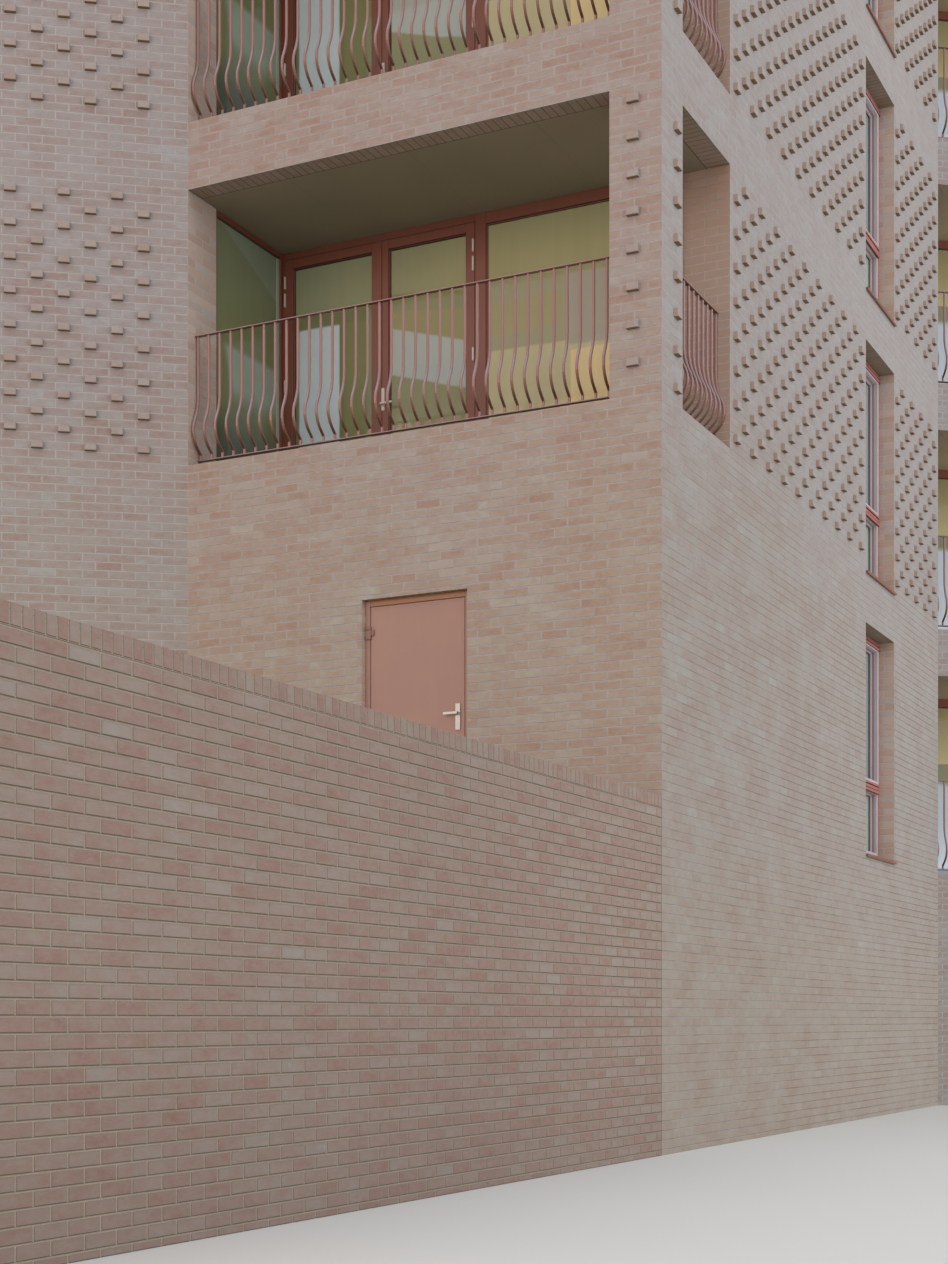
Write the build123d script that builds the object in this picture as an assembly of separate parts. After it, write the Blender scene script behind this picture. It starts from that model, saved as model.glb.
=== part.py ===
from build123d import *
import os

os.makedirs("parts", exist_ok=True)

# Millimetres, +Z up. The main corner of the block is the plan origin while the parts
# are laid out, and everything is moved to the middle of the plan at the end.

# Levels, counted from the lowest point where the brickwork meets the ground.
COURSE = 75
STOREY = 41 * COURSE
STOREYS = 4
FLOOR_0 = 2850
SLAB = 300
GROUND_FLOOR = 2558
ROOF = FLOOR_0 + STOREYS * STOREY
PARAPET = 900
WALL_TOP = ROOF + PARAPET
COPING_HIGH = 60

# Plan. The corner bay is square to X and Y; the rest of the block is turned to a
# 3-4-5 angle, and its faces are given along (u) and across (v) that direction.
WALL = 450
COS_T, SIN_T = 0.8, 0.6
BAY_FRONT = 4520
BAY_SIDE = 9725
LEFT_LONG = 5400
END_LONG = 5400
BACK_V = 14200

# The corner pier, and the loggia behind it that is open on two sides.
PIER_FRONT = 447
PIER_SIDE = 478
LOGGIA_SIDE = 1669
LOGGIA_DEEP = 1600
SCREEN = 80
LOGGIA_SILL = 115
LOGGIA_HEAD = 2588
SOFFIT = 24
SOFFIT_EDGE = 215

# The loggias of the end face.
END_PIER = 2415
END_LOGGIA = END_LONG - END_PIER
END_SILL = 30
END_HEAD = 2520

# Tall windows: opening, and the frame set deep in the reveal with its glass at the back.
WIN_WIDE = 1261
WIN_SILL = 5
WIN_HEAD = 2539
WIN_TO_END = 2227
WIN_SET_BACK = 185
WIN_FRAME = 62
WIN_DEEP = 120
TRANSOM_AT = 810
TRANSOM = 92
PANE = 24
PANE_BACK = 25
SILL_THICK = 22
SILL_PROUD = 28

# The ground-level door in the front of the bay, hung to open outwards.
DOOR_FROM_CORNER = 1720
DOOR_WIDE = 1010
DOOR_HEAD = 4658
DOOR_FRAME = 50
DOOR_FRAME_DEEP = 95
DOOR_SET_BACK = 60
LEAF_THICK = 44
LEAF_GAP = 5
LEAF_FOOT_GAP = 10
HINGE_IN = 220
HANDLE_UP = 1050
PLATE_IN = 38
PLATE_WIDE = 44
PLATE_HALF_HIGH = 110
LEVER_IN = 50
LEVER_LONG = 130
LEVER_THICK = 20
LEVER_OUT = 48
LEVER_DEEP = 14
KNUCKLE_R = 7
KNUCKLE_LONG = 50
KNUCKLE_GAP = 5
FIXED_LONG = 25
PIN_R = 4
PIN_GAP = 0.05
KNUCKLE_OUT = 13
KNUCKLE_IN = 4

# Bellied balustrades. Each bar is given as outward offset from the top rail and height
# above the sill: straight down, out to the belly, back in to the foot.
RAIL_BACK = 125
RAIL_TOP = 1200
RAIL_LOW = 85
RAIL_DEEP = 42
RAIL_THICK = 12
BAR = 20
FIRST_BAR = 24
BAR_PITCH = 117
FOOT_BACK = 45
BELLY_OUT = 76
BELLY = ((0, RAIL_TOP - 6), (0, 640), (BELLY_OUT, 330), (-FOOT_BACK, RAIL_LOW - 6))

# The garden wall that carries on in the plane of the side face.
GARDEN_LONG = 8550
GARDEN_THICK = 330
GARDEN_TOP = 2848
GARDEN_COPING = 102


def box(x0, x1, y0, y1, z0, z1):
    """A box between two corners."""
    return Pos((x0 + x1) / 2, (y0 + y1) / 2, (z0 + z1) / 2) * Box(x1 - x0, y1 - y0, z1 - z0)


def prism(points, z0, z1):
    """An upright prism on a plan outline."""
    wire = Wire.make_polygon([(x, y, z0) for x, y in points], close=True)
    return Solid.extrude(Face(wire), Vector(0, 0, z1 - z0))


def from_uv(u, v):
    """A plan point given along and across the turned part of the block."""
    return (COS_T * u - SIN_T * v, SIN_T * u + COS_T * v)


def to_uv(x, y):
    """The same point the other way round."""
    return (COS_T * x + SIN_T * y, -SIN_T * x + COS_T * y)


def uv_box(u0, u1, v0, v1, z0, z1):
    """A box square to the turned part of the block."""
    return prism([from_uv(u0, v0), from_uv(u1, v0), from_uv(u1, v1), from_uv(u0, v1)], z0, z1)


def floor_at(k):
    """Finished floor of storey k, the ground storey being 0."""
    return FLOOR_0 + k * STOREY


# Corners of the plan, in the order they are walked with the inside on the left.
J_U, J_V = to_uv(-BAY_FRONT, 0)
L_U, L_V = to_uv(0, BAY_SIDE)
WEST_U = J_U - LEFT_LONG
EAST_U = L_U + END_LONG
CORNERS = {
    "left": from_uv(WEST_U, J_V),
    "front": (-BAY_FRONT, 0),
    "side": (0, 0),
    "end": (0, BAY_SIDE),
    "far": from_uv(EAST_U, L_V),
    "back": from_uv(EAST_U, BACK_V),
    "flank": from_uv(WEST_U, BACK_V),
}
LONG = {
    "left": LEFT_LONG,
    "front": BAY_FRONT,
    "side": BAY_SIDE,
    "end": END_LONG,
    "far": BACK_V - L_V,
    "back": EAST_U - WEST_U,
    "flank": BACK_V - J_V,
}


def face_plane(name):
    """Local axes of a face: x along it, y inwards from its outer surface, z up."""
    names = list(CORNERS)
    x0, y0 = CORNERS[name]
    x1, y1 = CORNERS[names[(names.index(name) + 1) % len(names)]]
    return Plane(origin=(x0, y0, 0), x_dir=(x1 - x0, y1 - y0, 0), z_dir=(0, 0, 1)).location


PLACE = {name: face_plane(name) for name in CORNERS}

# Where each wall starts and stops, so that only one wall owns each corner, and the
# left edges of its windows.
SPANS = {
    "left": (WALL, LEFT_LONG),
    "far": (WALL, LONG["far"] - WALL),
    "back": (0, LONG["back"]),
    "flank": (WALL, LONG["flank"]),
}


def spread(name, count):
    """Left edges of windows spaced evenly along a face."""
    pitch = LONG[name] / count
    return [(i + 0.5) * pitch - WIN_WIDE / 2 for i in range(count)]


WINDOWS = {
    "left": spread("left", 1),
    "side": [BAY_SIDE - WIN_TO_END - WIN_WIDE],
    "far": spread("far", 1),
    "back": spread("back", 4),
    "flank": spread("flank", 2),
}


def window_levels():
    """Bottom and top of every window opening, from the ground storey up."""
    return [(floor_at(k) + WIN_SILL, floor_at(k) + WIN_HEAD) for k in range(STOREYS)]


def spandrels(name):
    """Brickwork under, between and over the windows of one face."""
    out = []
    for x0 in WINDOWS[name]:
        low = 0
        for sill, head in window_levels():
            out.append(PLACE[name] * box(x0, x0 + WIN_WIDE, 0, WALL, low, sill))
            low = head
        out.append(PLACE[name] * box(x0, x0 + WIN_WIDE, 0, WALL, low, WALL_TOP))
    return out


def piers(name):
    """Full-height brickwork between the windows of one face."""
    start, stop = SPANS[name]
    edges = [start]
    for x0 in WINDOWS[name]:
        edges += [x0, x0 + WIN_WIDE]
    edges.append(stop)
    return [PLACE[name] * box(a, b, 0, WALL, 0, WALL_TOP) for a, b in zip(edges[::2], edges[1::2])]


def frame_with_lights(x0, x1, y0, y1, z0, z1, lights):
    """A flat frame with rectangular lights (x0, x1, z0, z1) cut through it."""
    solid = box(x0, x1, y0, y1, z0, z1)
    for a, b, low, high in lights:
        solid -= box(a, b, y0 - 1, y1 + 1, low, high)
    return solid


def panes(y0, y1, lights):
    """Glass that fills the lights of a frame, in the middle of its depth."""
    mid = (y0 + y1) / 2
    return [box(a, b, mid - PANE / 2, mid + PANE / 2, low, high) for a, b, low, high in lights]


def windows():
    """Frames, panes and metal sills of every tall window."""
    frames, glass, sills = [], [], []
    y0, y1 = WIN_SET_BACK, WIN_SET_BACK + WIN_DEEP
    for name, starts in WINDOWS.items():
        for x0 in starts:
            x1 = x0 + WIN_WIDE
            for sill, head in window_levels():
                low = sill + SILL_THICK
                bar = sill + TRANSOM_AT
                lights = [
                    (x0 + WIN_FRAME, x1 - WIN_FRAME, low + WIN_FRAME, bar),
                    (x0 + WIN_FRAME, x1 - WIN_FRAME, bar + TRANSOM, head - WIN_FRAME),
                ]
                frames.append(PLACE[name] * frame_with_lights(x0, x1, y0, y1, low, head, lights))
                glass += [PLACE[name] * pane for pane in panes(y1 - 2 * PANE_BACK, y1, lights)]
                sills.append(PLACE[name] * box(x0, x1, -SILL_PROUD, y1, sill, low))
    return frames, glass, sills


def balustrade(wide):
    """One bellied balustrade, x along it from the left, y inwards, z up from the sill."""
    foot = RAIL_BACK + FOOT_BACK
    half = RAIL_DEEP / 2
    low = box(0, wide, foot - half, foot + half, RAIL_LOW - RAIL_THICK, RAIL_LOW)
    high = box(0, wide, RAIL_BACK - half, RAIL_BACK + half, RAIL_TOP - RAIL_THICK, RAIL_TOP)
    outer = [(RAIL_BACK - out - BAR / 2, up) for out, up in BELLY]
    inner = [(RAIL_BACK - out + BAR / 2, up) for out, up in reversed(BELLY)]
    wire = Wire.make_polygon([(0, y, z) for y, z in outer + inner], close=True)
    bar = Solid.extrude(Face(wire), Vector(BAR, 0, 0))
    count = int((wide - BAR) // BAR_PITCH)
    margin = min(FIRST_BAR - BAR / 2, (wide - BAR - count * BAR_PITCH) / 2)
    bars = [Pos(margin + i * BAR_PITCH, 0, 0) * bar for i in range(count + 1)]
    return low.fuse(high, *bars)


def loggia_bands(x0, x1, sill, head, first):
    """Brick bands between stacked loggias, from the base to the top of the wall. Under
    each, the soffit sheet comes out to the outer brick."""
    out = []
    low = 0
    for k in range(first, STOREYS + 1):
        high = floor_at(k) + sill if k < STOREYS else WALL_TOP
        band = box(x0, x1, 0, WALL, low, high)
        if k > first:
            band -= box(x0 - 1, x1 + 1, SOFFIT_EDGE, WALL + 1, low - 1, low + SOFFIT)
        out.append(band)
        low = floor_at(k) + head
    return out


def door_parts():
    """The outward-opening door: frame, leaf, hinges and handles, in the front face's axes."""
    x1 = BAY_FRONT - DOOR_FROM_CORNER
    x0 = x1 - DOOR_WIDE
    y0, y1 = DOOR_SET_BACK, DOOR_SET_BACK + DOOR_FRAME_DEEP
    top = DOOR_HEAD - DOOR_FRAME
    frame = box(x0, x1, y0, y1, GROUND_FLOOR, DOOR_HEAD)
    frame -= box(x0 + DOOR_FRAME, x1 - DOOR_FRAME, y0 - 1, y1 + 1, GROUND_FLOOR - 1, top)
    leaf_x0, leaf_x1 = x0 + DOOR_FRAME + LEAF_GAP, x1 - DOOR_FRAME - LEAF_GAP
    leaf_y = y0 + 2
    low = GROUND_FLOOR + LEAF_FOOT_GAP
    high = top - LEAF_GAP
    leaf = box(leaf_x0, leaf_x1, leaf_y, leaf_y + LEAF_THICK, low, high)
    axis_x, axis_y = leaf_x0 + KNUCKLE_IN, leaf_y - KNUCKLE_OUT
    hinges, pins = [], []
    for z in (low + HINGE_IN, (low + high) / 2, high - HINGE_IN):
        # The leaf's knuckle turns on a pin held by two square knuckles of the frame.
        half = KNUCKLE_LONG / 2
        knuckle = Pos(axis_x, axis_y, z) * Box(2 * KNUCKLE_R, 2 * KNUCKLE_R, KNUCKLE_LONG)
        flap = box(axis_x - KNUCKLE_R, axis_x + 32, axis_y, leaf_y, z - half, z + half)
        bore = Pos(axis_x, axis_y, z) * Cylinder(PIN_R + PIN_GAP, KNUCKLE_LONG + 2)
        hinges.append(knuckle.fuse(flap) - bore)
        pin = Pos(axis_x, axis_y, z) * Cylinder(PIN_R, KNUCKLE_LONG + 2 * KNUCKLE_GAP + 2)
        for up in (half + KNUCKLE_GAP, -half - KNUCKLE_GAP - FIXED_LONG):
            a, b = z + up, z + up + FIXED_LONG
            fixed = box(x0 + DOOR_FRAME - 36, axis_x + 5, axis_y - 5, axis_y + 5, a, b)
            flap = box(x0 + DOOR_FRAME - 36, x0 + DOOR_FRAME, axis_y - 5, y0, a, b)
            pin = pin.fuse(fixed, flap)
        pins.append(pin)
    handles = []
    lever_z = GROUND_FLOOR + HANDLE_UP
    for side, face_y in ((-1, leaf_y), (1, leaf_y + LEAF_THICK)):
        ys = sorted((face_y, face_y + side * 10))
        plate_x1 = leaf_x1 - PLATE_IN
        low_z, high_z = lever_z - PLATE_HALF_HIGH, lever_z + PLATE_HALF_HIGH
        plate = box(plate_x1 - PLATE_WIDE, plate_x1, ys[0], ys[1], low_z, high_z)
        grip_x1, grip_z = leaf_x1 - LEVER_IN, lever_z + LEVER_THICK
        ys = sorted((face_y + side * 8, face_y + side * LEVER_OUT))
        stem = box(grip_x1 - LEVER_THICK, grip_x1, ys[0], ys[1], grip_z, grip_z + LEVER_THICK)
        ys = sorted((face_y + side * (LEVER_OUT - LEVER_DEEP), face_y + side * LEVER_OUT))
        lever = box(grip_x1 - LEVER_LONG, grip_x1, ys[0], ys[1], grip_z, grip_z + LEVER_THICK)
        handles.append(plate.fuse(stem, lever))
    return frame, leaf, hinges, pins, handles, (axis_x, axis_y)


nodes = {}
front, side, end = PLACE["front"], PLACE["side"], PLACE["end"]

# Brickwork of the bay. Local x of the front face runs towards the main corner.
nodes["corner_pier"] = [box(-PIER_FRONT, 0, 0, PIER_SIDE, 0, WALL_TOP)]
bay_sill = floor_at(1) + LOGGIA_SILL
door_x1 = BAY_FRONT - DOOR_FROM_CORNER
door_x0 = door_x1 - DOOR_WIDE
front_x1 = BAY_FRONT - PIER_FRONT
nodes["front_wall_beside_door"] = [
    front * box(0, door_x0, 0, WALL, 0, bay_sill),
    front * box(door_x1, front_x1, 0, WALL, 0, bay_sill),
]
nodes["front_wall_at_door"] = [
    front * box(door_x0, door_x1, 0, WALL, 0, GROUND_FLOOR),
    front * box(door_x0, door_x1, 0, WALL, DOOR_HEAD, bay_sill),
]
nodes["front_loggia_bands"] = [front * b for b in loggia_bands(0, front_x1, LOGGIA_SILL, LOGGIA_HEAD, 1)[1:]]
nodes["side_loggia_bands"] = [
    side * b for b in loggia_bands(PIER_SIDE, LOGGIA_SIDE, LOGGIA_SILL, LOGGIA_HEAD, 1)
]
jamb_x = -((J_V + WALL) - COS_T * WALL) / SIN_T
nodes["loggia_jamb"] = [
    prism([(-BAY_FRONT, 0), (-BAY_FRONT, WALL), (jamb_x, WALL), from_uv(J_U, J_V + WALL)], 0, WALL_TOP)
]
win_at = WINDOWS["side"][0]
win_end = win_at + WIN_WIDE
nodes["side_wall_piers"] = [
    side * box(LOGGIA_SIDE, win_at, 0, WALL, 0, WALL_TOP),
    prism([(-WALL, win_end), (0, win_end), (0, BAY_SIDE), (-WALL, (L_V - SIN_T * WALL) / COS_T)], 0, WALL_TOP),
]
nodes["side_wall_spandrels"] = spandrels("side")

# Brickwork of the turned part.
for name in SPANS:
    nodes[name + "_wall_piers"] = piers(name)
    nodes[name + "_wall_spandrels"] = spandrels(name)
screen_v = L_V + LOGGIA_DEEP
inside_v = screen_v + SCREEN
end_x1 = END_LOGGIA
nodes["end_wall_piers"] = [
    end * box(end_x1, END_LONG, 0, WALL, 0, WALL_TOP),
    uv_box(L_U - WALL, L_U, L_V, L_V + WALL, 0, WALL_TOP),
]
nodes["end_loggia_walls"] = [
    uv_box(L_U - WALL, L_U, L_V + WALL, inside_v, 0, ROOF),
    uv_box(L_U + end_x1, L_U + end_x1 + WALL, L_V + WALL, inside_v, 0, ROOF),
]
nodes["end_loggia_bands"] = [end * b for b in loggia_bands(0, end_x1, END_SILL, END_HEAD, 0)]

# Floors and roof, one slab a storey in each part of the plan. They end at the inner
# faces of the walls and at the backs of the loggia screens.
screen_back = LOGGIA_DEEP + SCREEN
west_x = -BAY_FRONT - SCREEN
fold_u = to_uv(west_x, screen_back)[0]
west_outline = [
    from_uv(WEST_U + WALL, J_V + WALL),
    (west_x, (J_V + WALL + SIN_T * west_x) / COS_T),
    (west_x, screen_back),
    from_uv(fold_u, inside_v),
    from_uv(WEST_U + WALL, inside_v),
]
bay_outline = [
    (west_x, screen_back),
    (-WALL, screen_back),
    (-WALL, (L_V - SIN_T * WALL) / COS_T),
    from_uv(L_U - WALL, inside_v),
    from_uv(fold_u, inside_v),
]
main_outline = [
    from_uv(WEST_U + WALL, inside_v),
    from_uv(EAST_U - WALL, inside_v),
    from_uv(EAST_U - WALL, BACK_V - WALL),
    from_uv(WEST_U + WALL, BACK_V - WALL),
]
levels = [GROUND_FLOOR] + [floor_at(k) for k in range(1, STOREYS + 1)]
for name, outline in (("west", west_outline), ("bay", bay_outline), ("main", main_outline)):
    nodes[name + "_floors"] = [prism(outline, z - SLAB, z) for z in levels]
nodes["bay_floors"].append(box(west_x, -WALL, WALL, screen_back - 2, GROUND_FLOOR - SLAB, GROUND_FLOOR))

# Loggia decks. Each hangs a soffit sheet that comes down level with the brick head and
# runs out to the outer brick, round the back of the corner pier.
bay_soffit = [
    (-BAY_FRONT, SOFFIT_EDGE),
    (-PIER_FRONT, SOFFIT_EDGE),
    (-PIER_FRONT, PIER_SIDE),
    (-SOFFIT_EDGE, PIER_SIDE),
    (-SOFFIT_EDGE, LOGGIA_SIDE),
    (-WALL, LOGGIA_SIDE),
    (-WALL, screen_back),
    (west_x, screen_back),
    (west_x, WALL),
    (-BAY_FRONT, WALL),
]
bay_decks, end_decks, soffits = [], [], []
for k in range(1, STOREYS + 1):
    under = floor_at(k) - SLAB if k == 1 else floor_at(k - 1) + LOGGIA_HEAD + SOFFIT
    bay_decks.append(box(west_x, -WALL, WALL, screen_back, under, floor_at(k)))
    if k > 1:
        soffits.append(prism(bay_soffit, under - SOFFIT, under))
for k in range(STOREYS + 1):
    under = floor_at(k) - SLAB if k == 0 else floor_at(k - 1) + END_HEAD + SOFFIT
    end_decks.append(uv_box(L_U, L_U + end_x1, L_V + WALL, inside_v, under, floor_at(k)))
    if k > 0:
        edge_v = L_V + SOFFIT_EDGE
        soffits.append(uv_box(L_U, L_U + end_x1, edge_v, inside_v, under - SOFFIT, under))
nodes["bay_loggia_decks"] = bay_decks
nodes["end_loggia_decks"] = end_decks
nodes["loggia_soffits"] = soffits

# Glazed screens at the back and left of the bay loggias: a pair of doors, then one
# wide fixed light that runs on behind the corner pier.
POST = 105
HEAD_BAR = 70
RAIL = 110
LEAF_FRAME = 88
LEAF_RAIL = 150
LEAF_SPLIT = 1080
LEAF_END = 2080
POST_END = 2190
SIDE_STILE = 40
SIDE_HEAD = 60
rear_frames, side_frames, leaves, screen_glass = [], [], [], []
for k in range(1, STOREYS):
    low, high = floor_at(k), floor_at(k) + LOGGIA_HEAD
    y0, y1 = LOGGIA_DEEP, screen_back
    x0, x1 = -SCREEN, BAY_FRONT - WALL
    doors = (x0 + POST, LEAF_END, low + 40, high - HEAD_BAR)
    fixed = (POST_END, x1 - POST, low + RAIL, high - RAIL)
    rear_frames.append(front * frame_with_lights(x0, x1, y0, y1, low, high, [doors, fixed]))
    screen_glass += [front * p for p in panes(y0, y1, [fixed])]
    for a, b in ((doors[0], LEAF_SPLIT), (LEAF_SPLIT, LEAF_END)):
        light = (a + LEAF_FRAME, b - LEAF_FRAME, doors[2] + LEAF_RAIL, doors[3] - LEAF_FRAME)
        gap = 0 if a == LEAF_SPLIT else 2
        leaf = frame_with_lights(a, b - gap, y0 + 8, y1 - 8, doors[2], doors[3], [light])
        leaves.append(front * leaf)
        screen_glass += [front * p for p in panes(y0, y1, [light])]
    light = (WALL + 12, LOGGIA_DEEP - SIDE_STILE, low + RAIL, high - SIDE_HEAD)
    turn = Location((-BAY_FRONT - SCREEN, 0, 0)) * Location((0, 0, 0), (0, 0, 90)) * Location((0, -SCREEN, 0))
    side_frames.append(turn * frame_with_lights(WALL, LOGGIA_DEEP, 0, SCREEN, low, high, [light]))
    screen_glass += [turn * p for p in panes(0, SCREEN, [light])]
nodes["loggia_rear_screens"] = rear_frames
nodes["loggia_side_screens"] = side_frames
nodes["loggia_doors"] = leaves
nodes["loggia_glass"] = screen_glass

# Screens at the back of the end loggias.
end_frames, end_glass = [], []
for k in range(STOREYS):
    low, high = floor_at(k), floor_at(k) + END_HEAD
    y0, y1 = LOGGIA_DEEP, screen_back
    lights = []
    for a, b in ((0, 1000), (1000, 2000), (2000, end_x1)):
        lights.append((a + 55 + 35 * (a == 0), b - 55 - 35 * (b == end_x1), low + RAIL, high - RAIL))
    end_frames.append(end * frame_with_lights(0, end_x1, y0, y1, low, high, lights))
    end_glass += [end * p for p in panes(y0, y1, lights)]
nodes["end_loggia_screens"] = end_frames
nodes["end_loggia_glass"] = end_glass

# Balustrades, one for each width of opening and a copy on every storey.
front_rail = balustrade(front_x1)
side_rail = balustrade(LOGGIA_SIDE - PIER_SIDE)
end_rail = balustrade(end_x1)
up = [floor_at(k) + LOGGIA_SILL for k in range(1, STOREYS)]
nodes["front_balustrades"] = [front * Pos(0, 0, z) * front_rail for z in up]
nodes["side_balustrades"] = [side * Pos(PIER_SIDE, 0, z) * side_rail for z in up]
nodes["end_balustrades"] = [end * Pos(0, 0, floor_at(k) + END_SILL) * end_rail for k in range(STOREYS)]

frames, glass, sills = windows()
nodes["window_frames"] = frames
nodes["window_glass"] = glass
nodes["window_sills"] = sills

frame, leaf, hinges, pins, handles, axis = door_parts()
nodes["door_frame"] = [front * frame]
nodes["door_leaf"] = [front * leaf]
nodes["door_hinges"] = [front * h for h in hinges]
nodes["door_hinge_pins"] = [front * p for p in pins]
nodes["door_handles"] = [front * h for h in handles]

# Coping along the top of every face, in lengths with open joints at the corners.
JOINT = 3
OVER = 20
cap = []
for name in CORNERS:
    a, b = JOINT, LONG[name] - JOINT
    if name in ("front", "back", "flank"):
        a, b = WALL + OVER + JOINT, LONG[name] - WALL - OVER - JOINT
    if name == "front":
        a = WALL + JOINT
    if name == "flank":
        b = LONG[name]
    cap.append(PLACE[name] * box(a, b, -OVER, WALL + OVER, WALL_TOP, WALL_TOP + COPING_HIGH))
nodes["parapet_coping"] = cap

garden_low = GARDEN_TOP - GARDEN_COPING
nodes["garden_wall"] = [box(-GARDEN_THICK, 0, -GARDEN_LONG, 0, 0, garden_low)]
nodes["garden_wall_coping"] = [box(-GARDEN_THICK, 0, -GARDEN_LONG, 0, garden_low, GARDEN_TOP)]

# Bring the middle of the plan over the origin and write one file per node.
limits = [s.bounding_box() for solids in nodes.values() for s in solids]
mid_x = (min(b.min.X for b in limits) + max(b.max.X for b in limits)) / 2
mid_y = (min(b.min.Y for b in limits) + max(b.max.Y for b in limits)) / 2
print("plan middle", mid_x, mid_y, "height", max(b.max.Z for b in limits))
for name, solids in nodes.items():
    moved = [Pos(-mid_x, -mid_y, 0) * s for s in solids]
    shape = moved[0] if len(moved) == 1 else Compound(children=moved)
    export_step(shape, "parts/" + name + ".step")
    print(name, len(moved), round(sum(s.volume for s in moved) / 1e9, 3), "m3")
door_axis = (front * Pos(axis[0], axis[1], 0)).position
print("door axis", door_axis.X - mid_x, door_axis.Y - mid_y)
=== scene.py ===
import contextlib
import logging
import math
from collections.abc import Callable, Iterable, Iterator, Mapping, Sequence
from dataclasses import dataclass, field
from enum import Enum
from typing import Any, ClassVar

import bmesh
import bpy
from mathutils import Matrix, Vector


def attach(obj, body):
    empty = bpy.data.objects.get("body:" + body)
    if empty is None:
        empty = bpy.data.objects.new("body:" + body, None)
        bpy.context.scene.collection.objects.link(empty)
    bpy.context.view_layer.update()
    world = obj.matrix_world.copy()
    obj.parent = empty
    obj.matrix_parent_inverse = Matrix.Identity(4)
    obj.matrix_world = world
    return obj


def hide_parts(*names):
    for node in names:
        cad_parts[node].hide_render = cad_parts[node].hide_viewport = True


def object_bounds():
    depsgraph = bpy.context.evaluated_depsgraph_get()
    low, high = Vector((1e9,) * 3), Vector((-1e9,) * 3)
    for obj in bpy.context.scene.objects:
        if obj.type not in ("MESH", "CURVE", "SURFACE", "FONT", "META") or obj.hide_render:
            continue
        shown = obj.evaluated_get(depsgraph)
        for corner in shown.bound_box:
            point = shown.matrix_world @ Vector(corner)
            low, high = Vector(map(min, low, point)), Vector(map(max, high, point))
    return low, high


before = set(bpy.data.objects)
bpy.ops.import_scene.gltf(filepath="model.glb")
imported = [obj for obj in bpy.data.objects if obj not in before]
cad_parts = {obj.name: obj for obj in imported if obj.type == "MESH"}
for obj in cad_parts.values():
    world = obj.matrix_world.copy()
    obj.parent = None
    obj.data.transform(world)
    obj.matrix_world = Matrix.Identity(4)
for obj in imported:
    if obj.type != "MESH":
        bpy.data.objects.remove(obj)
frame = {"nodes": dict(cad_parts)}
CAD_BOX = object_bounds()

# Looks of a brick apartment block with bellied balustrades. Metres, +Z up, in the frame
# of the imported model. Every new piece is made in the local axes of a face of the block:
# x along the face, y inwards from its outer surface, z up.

log = logging.getLogger("block")

Rgb = tuple[float, float, float]
Point = tuple[float, float, float]
# Both ends of a stretch, or a point in plan.
Span = tuple[float, float]
Stops = tuple[tuple[float, Rgb], ...]
Piece = bpy.types.Object
Socket = bpy.types.NodeSocket
Material = bpy.types.Material

# Levels and sizes, as in the part's source: storeys, walls, plan, brickwork, openings of
# the loggias and windows, and the garden wall.
FLOOR_0 = 2.850
STOREY = 3.075
STOREYS = 4
WALL = 0.450
BAY_FRONT = 4.520
BAY_SIDE = 9.725
LEFT_LONG = 5.400
END_LONG = 5.400
BACK_V = 14.200
COS_T, SIN_T = 0.8, 0.6
PLAN_SHIFT = (5.6993, -4.7803)
COURSE = 0.075
BRICK_HIGH = 0.065
STRETCH = 0.232
COURSE_START = 0.043
PIER_FRONT = 0.447
PIER_SIDE = 0.478
LOGGIA_SIDE = 1.669
LOGGIA_SILL = 0.115
LOGGIA_HEAD = 2.588
LOGGIA_DEEP = 1.600
SCREEN = 0.080
END_LOGGIA = 2.985
END_SILL = 0.030
END_HEAD = 2.520
WIN_WIDE = 1.261
WIN_SILL = 0.005
WIN_HEAD = 2.539
GARDEN_LONG = 8.550
GARDEN_PER_ROW = 36.5
GARDEN_UNITS = 109
GARDEN_START = 0.046

# Small sizes that many pieces share: ease of the edges of bars, and how far a rail is
# tucked into its stiles or set back from their faces.
EASE = 0.003
TUCK = 0.001


def from_uv(u: float, v: float) -> Span:
    """A plan point given along and across the turned part of the block."""
    return (COS_T * u - SIN_T * v, SIN_T * u + COS_T * v)


def to_uv(x: float, y: float) -> Span:
    """A plan point given in the axes of the turned part."""
    return (COS_T * x + SIN_T * y, -SIN_T * x + COS_T * y)


def floor_at(k: int) -> float:
    """Finished floor of storey k, the ground storey being 0."""
    return FLOOR_0 + k * STOREY


class Side(Enum):
    """The seven faces of the block, walked with the inside on the left."""

    LEFT = "left"
    FRONT = "front"
    SIDE = "side"
    END = "end"
    FAR = "far"
    BACK = "back"
    FLANK = "flank"


@dataclass(frozen=True)
class Face:
    """One upright face of the block.

    Args:
        start: Plan point of the face's first corner, in the frame's own axes.
        along: Unit direction of the face in plan.
        length: Length of the face.
    """

    start: Span
    along: Span
    length: float

    def matrix(self, x: float = 0.0, y: float = 0.0, z: float = 0.0) -> Matrix:
        """Where a piece made in local axes goes.

        Args:
            x, y, z: Offset of the piece in the face's own axes.

        Returns:
            The matrix that places the piece.
        """
        dx, dy = self.along
        ox, oy = self.start
        turn = Matrix(((dx, -dy, 0, ox), (dy, dx, 0, oy), (0, 0, 1, 0), (0, 0, 0, 1)))
        return turn @ Matrix.Translation((x, y, z))

    def storeys(self, first: int = 0, x: float = 0.0, lift: float = 0.0) -> list[Matrix]:
        """The same place on every storey.

        Args:
            first: The lowest storey that has it.
            x: Offset along the face.
            lift: Height over the storey's floor.

        Returns:
            One matrix for each storey from the first one up.
        """
        return [self.matrix(x, 0, floor_at(k) + lift) for k in range(first, STOREYS)]


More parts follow.
